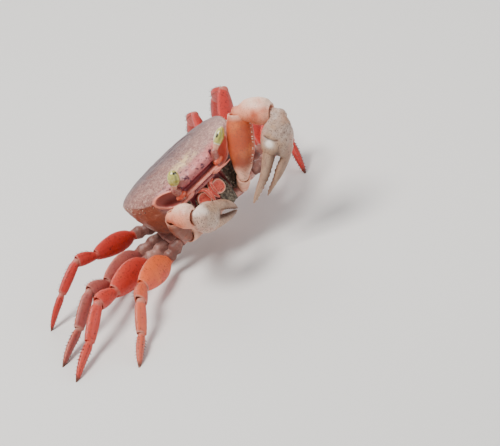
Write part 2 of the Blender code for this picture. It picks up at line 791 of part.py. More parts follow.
# The palm and the two fingers, where the large claw is a little open and the small one is shut
PALM_KEYS = {
    "left": (
        (0.0, 0.020, 0.050, 0.046, 0.048),
        (0.05, 0.010, 0.092, 0.080, 0.068),
        (0.13, 0.0, 0.128, 0.098, 0.086),
        (0.21, 0.0, 0.130, 0.112, 0.090),
        (0.28, 0.0, 0.112, 0.117, 0.082),
        (0.305, 0.0, 0.098, 0.113, 0.070),
    ),
    "right": (
        (0.0, -0.010, 0.060, 0.068, 0.056),
        (0.05, -0.010, 0.084, 0.104, 0.070),
        (0.13, -0.008, 0.110, 0.130, 0.086),
        (0.21, -0.004, 0.116, 0.136, 0.088),
        (0.28, 0.0, 0.108, 0.134, 0.082),
        (0.305, 0.0, 0.098, 0.126, 0.070),
    ),
}
FIXED_FINGER_KEYS = {
    "left": (
        (0.22, -0.068, 0.040, 0.050, 0.056),
        (0.30, -0.080, 0.036, 0.038, 0.052),
        (0.36, -0.076, 0.034, 0.034, 0.047),
        (0.44, -0.064, 0.032, 0.031, 0.039),
        (0.53, -0.045, 0.020, 0.020, 0.026),
        (0.60, -0.031, 0.010, 0.011, 0.013),
        (0.625, -0.027, 0.006, 0.006, 0.007),
    ),
    "right": (
        (0.22, -0.062, 0.050, 0.060, 0.056),
        (0.34, -0.064, 0.044, 0.056, 0.052),
        (0.46, -0.054, 0.034, 0.046, 0.044),
        (0.58, -0.036, 0.025, 0.036, 0.034),
        (0.68, -0.016, 0.014, 0.020, 0.021),
        (0.725, -0.006, 0.007, 0.009, 0.009),
    ),
}
MOVING_FINGER_KEYS = {
    "left": (
        (0.300, 0.040, 0.050, 0.050, 0.048),
        (0.36, 0.033, 0.050, 0.045, 0.048),
        (0.46, 0.032, 0.036, 0.034, 0.040),
        (0.58, 0.043, 0.027, 0.025, 0.029),
        (0.66, 0.053, 0.018, 0.016, 0.019),
        (0.705, 0.059, 0.007, 0.007, 0.008),
    ),
    "right": (
        (0.300, 0.046, 0.048, 0.036, 0.046),
        (0.36, 0.056, 0.052, 0.036, 0.050),
        (0.46, 0.060, 0.046, 0.035, 0.044),
        (0.58, 0.052, 0.037, 0.031, 0.034),
        (0.69, 0.030, 0.022, 0.018, 0.021),
        (0.735, 0.014, 0.009, 0.008, 0.009),
    ),
}
TOOTH_SHARES = (0.32, 0.43, 0.54, 0.65, 0.76, 0.86)


def finger_teeth(profile, upper, reach, bulk, chance):
    """Blunt teeth along the cutting edge of a finger, the middle ones larger."""
    teeth = []
    for number, share in enumerate(TOOTH_SHARES):
        place = profile[0][0] + share * (profile[-1][0] - profile[0][0])
        row = min(profile, key=lambda item: abs(item[0] - place))
        edge = row[1] - row[3] if upper else row[1] + row[2]
        down = -1 if upper else 1
        size = (0.00062 if number in (1, 2, 3) else 0.00042) * bulk * chance.uniform(0.9, 1.15)
        x = place * reach * SHELL_WIDTH
        base = Vector((x, 0, (edge * bulk) * SHELL_WIDTH - down * size * 0.8))
        teeth.append(cone(size * 1.3, size * 2.0, base, Vector((0.1, 0, down)), 5))
    return teeth


def edge_tubercles(keys, length, bulk, spread, count, size, chance):
    """Small blunt tubercles along the upper corner of an arm piece."""
    profile = blended(scaled_keys(keys, length, bulk), 40)
    tubercles = []
    for number in range(count):
        row = profile[int(6 + 30 * number / (count - 1))]
        way = Vector((0, spread, 0.75)).normalized()
        root = Vector((row[0], row[4] * spread * 0.82, row[1] + row[2] * 0.80)) * SHELL_WIDTH
        grown = size * chance.uniform(0.8, 1.2)
        tubercles.append(cone(grown, grown * 2.2, root - way * grown * 0.9, way, 4))
    return tubercles


def arm_piece(name, joint, way, edge, keys, length, bulk, count, collection):
    """One straight arm piece with a rounded near end."""
    rows = scaled_keys(keys, length, bulk)
    shape = straight_piece(rows, count, rows[0][2], END_CAP, 12)
    return add_object(name, shape, frame_at(joint, pointing(*way), edge), "arm", collection)


def claw_keys(keys, reach, bulk):
    """Palm or finger keys, made longer by reach and thicker by bulk."""
    return [(row[0] * reach, *(value * bulk for value in row[1:])) for row in keys]


def neck_shape(near, far, radius):
    """The short round neck by which the palm hangs from the carpus."""
    along = far - near
    upright = max((Vector((0, 1, 0)), Vector((0, 0, 1))), key=lambda way: way.cross(along).length)
    points = [near, near.lerp(far, 0.3), near.lerp(far, 0.7), far]
    sizes = [[radius * share] * 3 for share in (0.80, 1.0, 1.08, 1.0)]
    return swept(points, sizes, upright, 10, radius * 0.35, radius * 0.2)


def claw_arm(side_name, chance, collection):
    """The whole claw-bearing leg, from its hip to its two fingers. Returns the hip."""
    pose = ARM_POSES[side_name]
    sign = 1 if side_name == "left" else -1
    bulk, reach = pose["bulk"], pose["reach"]
    stem = side_name + "_claw_"
    step = ARM_STEP * SHELL_WIDTH * bulk
    side, forward, up = LEG_ROOTS[1]
    root = body_point(sign * side, forward, up)
    outward = (root - body_point(sign * side * 0.5, forward * 0.7, up)).normalized()
    joint = root + outward * HIP_STEP * SHELL_WIDTH

    way, length = pose["hip"]
    hip = arm_piece(
        stem + "ischium", joint, way, upper_edge(*way), ARM_HIP_KEYS, length, 1.0, 5, collection
    )
    joint += pointing(*way) * (length * SHELL_WIDTH + step)

    way, length = pose["thigh"]
    edge = pose["thigh_edge"]
    upper = arm_piece(
        stem + "merus", joint, way, edge, ARM_THIGH_KEYS, length, bulk, 9, collection
    )
    bumps = []
    for spread in (0.6, -0.6):
        bumps += edge_tubercles(ARM_THIGH_KEYS, length, bulk, spread, 7, 0.00042, chance)
    reshape(upper, [combined(bumps)], "UNION")
    joint += pointing(*way) * (length * SHELL_WIDTH + step)

    way, length = pose["knee"]
    edge = pose["knee_edge"]
    knee = arm_piece(
        stem + "carpus", joint, way, edge, ARM_KNEE_KEYS, length, bulk, 8, collection
    )
    cap = joint + pointing(*way) * length * SHELL_WIDTH
    wrist = cap + pointing(*way) * pose["wrist"] * SHELL_WIDTH

    placement = frame_at(wrist, pose["palm"], pose["palm_edge"])
    palm_rows = claw_keys(PALM_KEYS[side_name], reach, bulk)
    shape = straight_piece(palm_rows, 8, palm_rows[0][2], 0.0, 12)
    palm = add_object(stem + "palm", shape, placement, "claw", collection)
    fixed_keys = FIXED_FINGER_KEYS[side_name]
    fixed = straight_piece(claw_keys(fixed_keys, reach, bulk), 9, 0, 0.004, 10)
    inward = placement.inverted()
    near = cap - pointing(*way) * 0.010 * SHELL_WIDTH
    palm_start = wrist + pose["palm"].normalized() * 0.05 * reach * SHELL_WIDTH
    neck = neck_shape(inward @ near, inward @ palm_start, ARM_KNUCKLE * bulk * SHELL_WIDTH)
    reshape(palm, [fixed, neck], "UNION")
    teeth = finger_teeth(blended(fixed_keys, 60), False, reach, bulk, chance)
    reshape(palm, [combined(teeth)], "UNION")

    moving_keys = MOVING_FINGER_KEYS[side_name]
    shape = straight_piece(claw_keys(moving_keys, reach, bulk), 9, 0, 0.004, 10)
    finger = add_object(stem + "finger", shape, placement, "claw", collection)
    teeth = finger_teeth(blended(moving_keys, 60), True, reach, bulk, chance)
    reshape(finger, [combined(teeth)], "UNION")
    nest(hip, upper)
    nest(upper, knee)
    nest(knee, palm)
    nest(palm, finger)
    return hip


def clear_scene():
    for old in list(bpy.data.objects):
        bpy.data.objects.remove(old)


def centre_on_floor(collection):
    """Move the whole crab so that the middle of its box stands over the origin."""
    bpy.context.view_layer.update()
    corners = []
    for piece in collection.objects:
        corners += [piece.matrix_world @ vert.co for vert in piece.data.vertices]
    middle = Vector()
    for axis in (0, 1):
        values = [corner[axis] for corner in corners]
        middle[axis] = (min(values) + max(values)) / 2
    for piece in collection.objects:
        piece.matrix_world = Matrix.Translation(-middle) @ piece.matrix_world


def main():
    clear_scene()
    chance = random.Random(SEED)
    crab = bpy.data.collections.new("land_crab")
    bpy.context.scene.collection.children.link(crab)
    back_shell = shell(crab)
    plate = breast_plate(crab)
    nest(back_shell, plate)
    tail_flap(crab)
    hips = []
    for side_name, sign in (("left", 1), ("right", -1)):
        mouth_leg(side_name, sign, crab)
        eye(side_name, sign, back_shell, crab)
        feeler(side_name, sign, back_shell, crab)
        hips.append(claw_arm(side_name, chance, crab))
        for number in (2, 3, 4, 5):
            hips.append(walking_leg(side_name, number, chance, crab))
    nest(plate, *hips)
    centre_on_floor(crab)


main()
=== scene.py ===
import math
import random

import bmesh
import bpy
import numpy as np
from mathutils import Matrix, Vector, noise


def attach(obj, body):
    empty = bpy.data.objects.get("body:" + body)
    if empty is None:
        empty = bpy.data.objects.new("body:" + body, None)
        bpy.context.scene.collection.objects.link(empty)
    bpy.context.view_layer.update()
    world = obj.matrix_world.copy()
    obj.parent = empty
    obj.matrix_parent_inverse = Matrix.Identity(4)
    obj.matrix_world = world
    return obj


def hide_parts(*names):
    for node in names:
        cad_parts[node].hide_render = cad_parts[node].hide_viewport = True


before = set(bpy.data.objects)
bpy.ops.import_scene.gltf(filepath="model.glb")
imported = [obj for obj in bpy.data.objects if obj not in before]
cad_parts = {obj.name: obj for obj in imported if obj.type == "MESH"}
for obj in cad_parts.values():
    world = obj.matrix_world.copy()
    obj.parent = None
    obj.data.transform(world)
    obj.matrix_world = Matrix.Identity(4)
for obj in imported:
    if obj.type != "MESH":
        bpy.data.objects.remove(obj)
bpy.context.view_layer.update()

# The body's place and tilt, as in the part's source. Lengths below are shares of the shell's width.
body = {
    "width": 0.055,
    "middle": Vector((0.013637, -0.002645, 0.0352)),
    "pitch": 16,
    "roll": 16,
}
width = body["width"]
bodyTurn = Matrix.Rotation(math.radians(-body["pitch"]), 4, "X") @ Matrix.Rotation(
    math.radians(-body["roll"]), 4, "Y"
)
bodyFrame = Matrix.Translation(body["middle"]) @ bodyTurn
bodyUp = bodyTurn.to_3x3() @ Vector((0, 0, 1))
sides = {"left": 1, "right": -1}


def bodyPoint(side, forward, up):
    return bodyFrame @ (Vector((side, -forward, up)) * width)


def pointing(heading, rise):
    turn, lift = math.radians(heading), math.radians(rise)
    level = math.cos(lift)
    return Vector((level * math.cos(turn), level * math.sin(turn), math.sin(lift)))


def frameAt(joint, along, up):
    side = up.cross(along).normalized()
    top = along.cross(side).normalized()
    turn = Matrix((along.normalized(), side, top)).transposed().to_4x4()
    return Matrix.Translation(joint) @ turn


def smooth(value, low, high):
    # 0 at low and 1 at high, with soft ends; low may be the larger
    share = np.clip((np.asarray(value, float) - low) / (high - low), 0, 1)
    return share * share * (3 - 2 * share)


def bell(value, middle, spread):
    # 1 at the middle, fading to both sides
    return np.exp(-(((value - middle) / spread) ** 2))


def boxed(values, power):
    # pulls a cosine or a sine towards a rounded box
    return np.sign(values) * np.abs(values) ** power


def ringAngles(count):
    return 2 * np.pi * (np.arange(count) + 0.5) / count


def blended(keys, count):
    # Catmull-Rom through the rows, spread evenly over the first column
    keys = np.array(keys, float)
    where = np.linspace(keys[0, 0], keys[-1, 0], count)
    index = np.clip(np.searchsorted(keys[:, 0], where, side="right") - 1, 0, len(keys) - 2)
    before, after = keys[np.maximum(index - 1, 0)], keys[np.minimum(index + 2, len(keys) - 1)]
    low, high = keys[index], keys[index + 1]
    share = ((where - low[:, 0]) / (high[:, 0] - low[:, 0]))[:, None]
    rows = 2 * low + (high - before) * share
    rows += (2 * before - 5 * low + 4 * high - after) * share**2
    rows += (3 * low - before - 3 * high + after) * share**3
    rows = rows / 2
    rows[:, 0] = where
    return rows


def grain(points, scale, seed=0.0):
    # smooth noise, one value for each point, from about -1 to 1
    shift = Vector((seed, seed * 1.7, -seed))
    return np.array([noise.noise(Vector(p) * scale + shift) for p in points])


def sweep(centres, ups, sizes, sideCount, crest=0.0, box=1.0):
    # rings of (top, bottom, side) sizes along a path; the attributes follow the surface
    centres, sizes = np.array(centres, float), np.array(sizes, float)
    ups = np.broadcast_to(np.array(ups, float), centres.shape)
    along = np.gradient(centres, axis=0)
    along /= np.linalg.norm(along, axis=1)[:, None]
    across = np.cross(ups, along)
    across /= np.linalg.norm(across, axis=1)[:, None]
    lift = np.cross(along, across)
    turn = ringAngles(sideCount)
    wide, high = np.cos(turn), np.sin(turn)
    wideBox = boxed(wide, box) * (1 - crest * np.clip(high, 0, 1) ** 2)
    reach = np.where(high[None, :] > 0, sizes[:, 0:1], sizes[:, 1:2])
    rings = centres[:, None, :] + across[:, None, :] * (sizes[:, 2:3] * wideBox)[:, :, None]
    rings = rings + lift[:, None, :] * (reach * boxed(high, box))[:, :, None]
    spread = np.linspace(0, 1, len(centres))[:, None] * np.ones((1, sideCount))
    attributes = {
        "along": spread,
        "high": np.ones((len(centres), 1)) * high[None, :],
        "wide": np.ones((len(centres), 1)) * wide[None, :],
    }
    return rings, attributes


def ringMesh(name, rings, attributes, startPoint=None, endPoint=None):
    # quads between rings, closed at both ends on a point
    count, around = rings.shape[:2]
    startPoint = rings[0].mean(0) if startPoint is None else startPoint
    endPoint = rings[-1].mean(0) if endPoint is None else endPoint
    points = np.vstack([rings.reshape(-1, 3), [startPoint], [endPoint]])
    grid = np.arange(count * around).reshape(count, around)
    after = np.roll(grid, -1, axis=1)
    quads = np.stack([grid[:-1], after[:-1], after[1:], grid[1:]], axis=-1).reshape(-1, 4).tolist()
    first, last = count * around, count * around + 1
    quads += [(int(after[0, i]), int(grid[0, i]), first) for i in range(around)]
    quads += [(int(grid[-1, i]), int(after[-1, i]), last) for i in range(around)]
    mesh = bpy.data.meshes.new(name)
    mesh.from_pydata(points.tolist(), [], quads)
    for key, values in attributes.items():
        flat = np.append(np.asarray(values, float).reshape(-1), [0.0, 0.0])
        flat[-2], flat[-1] = np.mean(values[0]), np.mean(values[-1])
        layer = mesh.attributes.new(key, "FLOAT", "POINT")
        layer.data.foreach_set("value", flat.astype(np.float32))
    return mesh


def outward(mesh):
    shape = bmesh.new()
    shape.from_mesh(mesh)
    bmesh.ops.recalc_face_normals(shape, faces=shape.faces)
    shape.to_mesh(mesh)
    shape.free()
    mesh.shade_smooth()


def place(name, mesh, material, nodes):
    # one finished piece at the origin, riding the body and standing for its solids
    outward(mesh)
    mesh.materials.clear()
    mesh.materials.append(material)
    piece = bpy.data.objects.new(name, mesh)
    bpy.context.scene.collection.objects.link(piece)
    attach(piece, "root")
    if nodes:
        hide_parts(*nodes)
    return piece


def moved(mesh, matrix):
    mesh.transform(matrix)
    return mesh


def evaluated(piece):
    # a new mesh with the piece's modifiers applied
    bpy.context.view_layer.update()
    graph = bpy.context.evaluated_depsgraph_get()
    return bpy.data.meshes.new_from_object(piece.evaluated_get(graph))


def localPoints(mesh):
    values = np.zeros(len(mesh.vertices) * 3, np.float32)
    mesh.vertices.foreach_get("co", values)
    return values.reshape(-1, 3) / width


def setMask(mesh, key, values):
    # a number from 0 to 1 on each point, which the finishes read by its name
    layer = mesh.attributes.get(key) or mesh.attributes.new(key, "FLOAT", "POINT")
    values = np.zeros(len(mesh.vertices)) + values
    layer.data.foreach_set("value", np.clip(values, 0, 1).astype(np.float32))


# Materials
def startMaterial(name):
    material = bpy.data.materials.new(name)
    material.use_nodes = True
    tree = material.node_tree
    shader = tree.nodes["Principled BSDF"]
    coords = tree.nodes.new("ShaderNodeTexCoord")
    return material, tree, shader, coords.outputs["Object"]


def noiseAt(tree, coords, scale, detail=4.0, roughness=0.55, shift=0.0):
    mapping = tree.nodes.new("ShaderNodeMapping")
    mapping.inputs["Location"].default_value = (shift, shift * 0.7, -shift)
    tree.links.new(coords, mapping.inputs["Vector"])
    texture = tree.nodes.new("ShaderNodeTexNoise")
    texture.inputs["Scale"].default_value = scale
    texture.inputs["Detail"].default_value = detail
    texture.inputs["Roughness"].default_value = roughness
    tree.links.new(mapping.outputs["Vector"], texture.inputs["Vector"])
    return texture.outputs["Fac"]


def cellsAt(tree, coords, scale):
    texture = tree.nodes.new("ShaderNodeTexVoronoi")
    texture.inputs["Scale"].default_value = scale
    tree.links.new(coords, texture.inputs["Vector"])
    return texture.outputs["Distance"]


def between(tree, source, low, high):
    # 0 below low, 1 above high; low may be the larger
    node = tree.nodes.new("ShaderNodeMapRange")
    node.interpolation_type = "SMOOTHSTEP"
    flip = low > high
    node.inputs["From Min"].default_value = min(low, high)
    node.inputs["From Max"].default_value = max(low, high)
    node.inputs["To Min"].default_value = 1.0 if flip else 0.0
    node.inputs["To Max"].default_value = 0.0 if flip else 1.0
    tree.links.new(source, node.inputs["Value"])
    return node.outputs["Result"]


def attribute(tree, name):
    node = tree.nodes.new("ShaderNodeAttribute")
    node.attribute_name = name
    return node.outputs["Fac"]


def combined(tree, operation, first, second):
    node = tree.nodes.new("ShaderNodeMath")
    node.operation = operation
    for socket, value in zip(node.inputs, (first, second)):
        if isinstance(value, (int, float)):
            socket.default_value = value
        else:
            tree.links.new(value, socket)
    return node.outputs["Value"]


def times(tree, first, second):
    return combined(tree, "MULTIPLY", first, second)


def plus(tree, first, second):
    return combined(tree, "ADD", first, second)


def faded(tree, name, texture, low, high):
    # a mask of the mesh, broken up by a texture
    return times(tree, attribute(tree, name), between(tree, texture, low, high))


def layered(tree, base, layers):
    # each layer is a colour and its mask, a socket or the name of a mask of the mesh
    current = base
    for colour, mask in layers:
        if isinstance(mask, str):
            mask = attribute(tree, mask)
        mix = tree.nodes.new("ShaderNodeMix")
        mix.data_type = "RGBA"
        if isinstance(current, tuple):
            mix.inputs["A"].default_value = (*current, 1)
        else:
            tree.links.new(current, mix.inputs["A"])
        mix.inputs["B"].default_value = (*colour, 1)
        tree.links.new(mask, mix.inputs["Factor"])
        current = mix.outputs["Result"]
    return current


def bumped(tree, shader, heights):
    # each height is a socket, a strength and a distance in metres, laid over the one before
    normal = None
    for height, strength, distance in heights:
        bump = tree.nodes.new("ShaderNodeBump")
        bump.inputs["Strength"].default_value = strength
        bump.inputs["Distance"].default_value = distance
        tree.links.new(height, bump.inputs["Height"])
        if normal is not None:
            tree.links.new(normal, bump.inputs["Normal"])
        normal = bump.outputs["Normal"]
    tree.links.new(normal, shader.inputs["Normal"])


def dressed(tree, shader, colour, roughLow, roughHigh, roughSource, settings):
    tree.links.new(colour, shader.inputs["Base Color"])
    spread = tree.nodes.new("ShaderNodeMapRange")
    spread.inputs["To Min"].default_value = roughLow
    spread.inputs["To Max"].default_value = roughHigh
    tree.links.new(roughSource, spread.inputs["Value"])
    tree.links.new(spread.outputs["Result"], shader.inputs["Roughness"])
    for key, value in settings.items():
        shader.inputs[key].default_value = value


shellColours = {
    "back": (0.085, 0.044, 0.056),
    "front": (0.31, 0.128, 0.103),
    "bloom": (0.60, 0.36, 0.285),
    "magenta": (0.62, 0.190, 0.180),
    "crimson": (0.45, 0.100, 0.105),
    "spots": (0.095, 0.022, 0.040),
    "cream": (0.80, 0.55, 0.28),
    "flank": (0.315, 0.075, 0.032),
    "flankPale": (0.46, 0.150, 0.080),
    "flankLowShade": (0.085, 0.022, 0.010),
    "coral": (0.98, 0.34, 0.245),
    "litSocketBlush": (1.0, 0.27, 0.19),
    "rim": (0.90, 0.23, 0.13),
    "socket": (0.52, 0.160, 0.130),
    "hollowShade": (0.28, 0.050, 0.045),
    "speck": (0.045, 0.024, 0.028),
    "groove": (0.28, 0.042, 0.050),
    "felt": (0.050, 0.037, 0.027),
    "crumb": (0.42, 0.36, 0.27),
}


def makeShellSkin():
    material, tree, shader, coords = startMaterial("shellSkin")
    broad = noiseAt(tree, coords, 70, 4)
    fine = noiseAt(tree, coords, 420, 5, 0.6, 3.0)
    speckle = noiseAt(tree, coords, 900, 3, 0.5, 7.0)
    blotch = noiseAt(tree, coords, 450, 3, 0.5, 11.0)
    grains = noiseAt(tree, coords, 1300, 3, 0.6, 21.0)
    nearness = plus(tree, attribute(tree, "frontness"), times(tree, broad, 0.5))
    frontness = between(tree, nearness, 0.45, 1.42)
    mottle = plus(tree, times(tree, grains, 0.65), times(tree, fine, 0.35))
    # the pale bloom on the back grows stronger towards the front
    bloom = faded(tree, "dorsal", mottle, 0.44, 0.62)
    bloom = times(tree, bloom, plus(tree, times(tree, frontness, 0.80), 0.12))
    c = shellColours
    colour = layered(tree, c["back"], [
        (c["front"], frontness),
        (c["bloom"], bloom),
        # the pale cream patch on the front between the eyes: partly its own pale colour, partly a
        # painted highlight where the top of the front catches the light
        (c["cream"], faded(tree, "cream", blotch, 0.35, 0.6)),
        (c["magenta"], faded(tree, "magenta", broad, 0.2, 0.55)),
        (c["crimson"], faded(tree, "crimson", broad, 0.15, 0.5)),
        (c["spots"], faded(tree, "magenta", blotch, 0.53, 0.64)),
        (c["flank"], "flank"),
        (c["flankPale"], faded(tree, "flank", mottle, 0.54, 0.66)),
        # painted shade: the shell is painted darker towards the bottom, where its side turns under
        (c["flankLowShade"], faded(tree, "flankLowShade", broad, 0.25, 0.6)),
        (c["speck"], times(tree, between(tree, speckle, 0.60, 0.69), 0.8)),
        (c["felt"], "felt"),
        (c["crumb"], faded(tree, "felt", speckle, 0.52, 0.66)),
        (c["coral"], "coral"),
        (c["socket"], "socket"),
        # painted shade: the lower part of the right eye socket is darkened, where shade falls in the
        # hollow
        (c["hollowShade"], faded(tree, "depth", broad, 0.2, 0.6)),
        # painted light: the left eye socket is painted bright coral, a lit copy of the socket's
        # colour, while the right socket is painted shaded
        (c["litSocketBlush"], "litSocketBlush"),
        (c["rim"], "rim"),
        # partly the grooves' own dark crimson, partly painted shade: the mouth's hollow, the cove
        # under the front lobe and the slit are darkened where shade falls
        (c["groove"], "groove"),
    ])
    bumped(tree, shader, [(fine, 0.25, 0.0006), (cellsAt(tree, coords, 1500), 0.25, 0.00016)])
    settings = {"Specular IOR Level": 0.5, "Coat Weight": 0.12, "Coat Roughness": 0.3}
    dressed(tree, shader, colour, 0.34, 0.62, fine, settings)
    return material


legColours = {
    "orange": (0.84, 0.150, 0.045),
    "red": (0.70, 0.082, 0.046),
    "deep": (0.54, 0.036, 0.026),
    "rose": (0.47, 0.080, 0.060),
    "horn": (0.075, 0.035, 0.022),
    "mauve": (0.27, 0.080, 0.080),
    "hip": (0.175, 0.070, 0.055),
    "knobHighlight": (0.42, 0.205, 0.165),
    "speck": (0.06, 0.018, 0.014),
    "pale": (0.50, 0.24, 0.18),
    "edge": (0.70, 0.17, 0.10),
    "dark": (0.13, 0.030, 0.022),
}


def makeLegSkin():
    material, tree, shader, coords = startMaterial("legSkin")
    broad = noiseAt(tree, coords, 160, 4)
    fine = noiseAt(tree, coords, 700, 5, 0.6, 5.0)
    speckle = noiseAt(tree, coords, 1100, 3, 0.5, 8.0)
    high, red = attribute(tree, "high"), attribute(tree, "red")
    redness = plus(tree, plus(tree, broad, times(tree, high, -0.22)), times(tree, red, 0.6))
    # painted highlight: the crest along the top of each leg is painted paler, broken by noise
    edge = times(tree, between(tree, high, 0.88, 0.99), between(tree, fine, 0.40, 0.55))
    c = legColours
    colour = layered(tree, c["orange"], [
        (c["red"], between(tree, redness, 0.45, 0.85)),
        (c["mauve"], "mauve"),
        (c["rose"], "rose"),
        # painted highlight on the top crest
        (c["edge"], edge),
        (c["deep"], between(tree, red, 0.55, 0.75)),
        (c["dark"], times(tree, between(tree, fine, 0.54, 0.76), 0.65)),
        (c["speck"], times(tree, between(tree, speckle, 0.63, 0.70), 0.8)),
        (c["horn"], "horn"),
        (c["hip"], "hip"),
        # painted highlight: pale pink patches laid by noise over the hips, standing for light on the
        # knobs' tops
        (c["knobHighlight"], faded(tree, "hip", broad, 0.45, 0.70)),
        (c["pale"], faded(tree, "joint", broad, 0.35, 0.75)),
    ])
    bumped(tree, shader, [(fine, 0.45, 0.0006), (cellsAt(tree, coords, 1700), 0.25, 0.00014)])
    settings = {"Specular IOR Level": 0.35, "Coat Weight": 0.10, "Coat Roughness": 0.25}
    dressed(tree, shader, colour, 0.34, 0.60, fine, settings)
    return material


armColours = {
    "orange": (0.56, 0.088, 0.028),
    "glow": (0.78, 0.190, 0.060),
    "dusk": (0.17, 0.050, 0.025),
    "peach": (0.95, 0.37, 0.22),
    "cream": (0.95, 0.67, 0.51),
    "tan": (0.44, 0.262, 0.158),
    "grey": (0.50, 0.360, 0.290),
    "brown": (0.13, 0.065, 0.045),
    "tint": (0.68, 0.36, 0.27),
    "crease": (0.085, 0.036, 0.024),
    "speck": (0.15, 0.090, 0.072),
    "pearl": (0.98, 0.86, 0.76),
}


def makeArmSkin():
    # one finish for the claw arms: orange thighs, peach wrists, tan to grey palms and fingers
    material, tree, shader, coords = startMaterial("armSkin")
    broad = noiseAt(tree, coords, 130, 4)
    fine = noiseAt(tree, coords, 520, 5, 0.6, 2.0)
    speckle = noiseAt(tree, coords, 1700, 3, 0.5, 9.0)
    mottle = plus(tree, times(tree, fine, 0.6), times(tree, broad, 0.4))
    c = armColours
    colour = layered(tree, c["orange"], [
        (c["glow"], between(tree, broad, 0.42, 0.70)),
        # painted shade: dark brown over the small arm's hip and thigh and over the near end of the
        # big thigh, where they lie under the body
        (c["dusk"], faded(tree, "dusk", broad, 0.1, 0.4)),
        (c["peach"], faded(tree, "peach", broad, 0.25, 0.6)),
        (c["cream"], faded(tree, "cream", broad, 0.22, 0.58)),
        (c["tan"], "tan"),
        (c["grey"], faded(tree, "grey", broad, 0.30, 0.60)),
        (c["brown"], faded(tree, "tan", mottle, 0.44, 0.80)),
        (c["tint"], faded(tree, "tint", fine, 0.35, 0.65)),
        # dark marks and painted shade together: the hinge line, finger streaks and flecks are the
        # claw's own marks; the darkened groove, gape and turned-away side are painted shade
        (c["crease"], "crease"),
        (c["speck"], faded(tree, "speck", speckle, 0.56, 0.64)),
        (c["pearl"], "pearl"),
    ])
    bumped(tree, shader, [(fine, 0.35, 0.0006), (cellsAt(tree, coords, 1400), 0.3, 0.00016)])
    settings = {"Specular IOR Level": 0.5, "Coat Weight": 0.10, "Coat Roughness": 0.3}
    dressed(tree, shader, colour, 0.34, 0.62, fine, settings)
    return material


# Quiet finishes: base, second and dark colours, scale of the pattern, roughness, shader settings
plainForms = {
    "bellySkin": {
        "colours": ((0.56, 0.29, 0.22), (0.66, 0.42, 0.33), (0.30, 0.13, 0.11)),
        "scale": 110,
        "rough": (0.35, 0.6),
        "settings": {"Coat Weight": 0.1},
    },
    "jointSkin": {
        "colours": ((0.42, 0.16, 0.13), (0.60, 0.33, 0.27), (0.20, 0.06, 0.05)),
        "scale": 300,
        "rough": (0.45, 0.7),
        "settings": {"Sheen Weight": 0.1},
    },
    "feltSkin": {
        "colours": ((0.052, 0.038, 0.028), (0.20, 0.16, 0.11), (0.020, 0.014, 0.010)),
        "scale": 1300,
        "rough": (0.6, 0.85),
        "settings": {"Sheen Weight": 0.1},
    },
    "hairSkin": {
        "colours": ((0.085, 0.052, 0.034), (0.20, 0.14, 0.09), (0.030, 0.018, 0.012)),
        "scale": 600,
        "rough": (0.5, 0.75),
        "settings": {},
    },
    "lobeSkin": {
        "colours": ((0.80, 0.085, 0.030), (0.72, 0.15, 0.07), (0.40, 0.04, 0.03)),
        "scale": 300,
        "rough": (0.28, 0.50),
        "settings": {"Coat Weight": 0.2},
    },
    "spineSkin": {
        "colours": ((0.06, 0.022, 0.018), (0.10, 0.035, 0.025), (0.02, 0.01, 0.01)),
        "scale": 500,
        "rough": (0.3, 0.5),
        "settings": {"Coat Weight": 0.2},
    },
    "pearlSkin": {
        "colours": ((0.72, 0.46, 0.32), (0.82, 0.62, 0.48), (0.5, 0.25, 0.15)),
        "scale": 500,
        "rough": (0.3, 0.5),
        "settings": {"Coat Weight": 0.2},
    },
}


def makePlainSkin(name):
    form = plainForms[name]
    base, second, dark = form["colours"]
    material, tree, shader, coords = startMaterial(name)
    broad = noiseAt(tree, coords, form["scale"], 4)
    fine = noiseAt(tree, coords, form["scale"] * 5, 4, 0.6, 4.0)
    colour = layered(tree, base, [
        (second, between(tree, broad, 0.40, 0.65)),
        (dark, times(tree, between(tree, fine, 0.60, 0.74), 0.6)),
    ])
    bumped(tree, shader, [(fine, 0.3, 0.0004)])
    dressed(tree, shader, colour, *form["rough"], fine, form["settings"])
    return material


mouthColours = {
    "red": (0.82, 0.130, 0.080),
    "dark": (0.56, 0.055, 0.040),
    "cream": (0.86, 0.60, 0.44),
    "groove": (0.07, 0.012, 0.012),
}


def makeMouthSkin():
    material, tree, shader, coords = startMaterial("mouthSkin")
    fine = noiseAt(tree, coords, 600, 4, 0.6, 4.0)
    c = mouthColours
    colour = layered(tree, c["red"], [
        (c["dark"], between(tree, fine, 0.42, 0.66)),
        (c["cream"], "cream"),
        (c["groove"], "groove"),
    ])
    bumped(tree, shader, [(fine, 0.3, 0.0004)])
    dressed(tree, shader, colour, 0.28, 0.5, fine, {"Coat Weight": 0.2, "Coat Roughness": 0.2})
    return material


eyeColours = {
    "green": (0.47, 0.42, 0.075),
    "yellow": (0.60, 0.54, 0.15),
    "stripe": (0.20, 0.21, 0.05),
    "cream": (0.90, 0.84, 0.62),
    "pupil": (0.030, 0.026, 0.018),
}


def makeEyeSkin():
    material, tree, shader, coords = startMaterial("eyeSkin")
    fine = noiseAt(tree, coords, 900, 3, 0.5, 1.0)
    c = eyeColours
    colour = layered(tree, c["green"], [
        (c["yellow"], between(tree, fine, 0.42, 0.62)),
        (c["stripe"], "stripe"),
        (c["cream"], "cream"),
        (c["pupil"], "pupil"),
    ])
    bumped(tree, shader, [(cellsAt(tree, coords, 5000), 0.15, 0.00005)])
    dressed(tree, shader, colour, 0.12, 0.28, fine, {"Coat Weight": 0.5, "Coat Roughness": 0.08})
    return material


stalkColours = {
    "dark": (0.36, 0.10, 0.085),
    "pale": (0.55, 0.24, 0.17),
    "upper": (0.80, 0.37, 0.24),
}


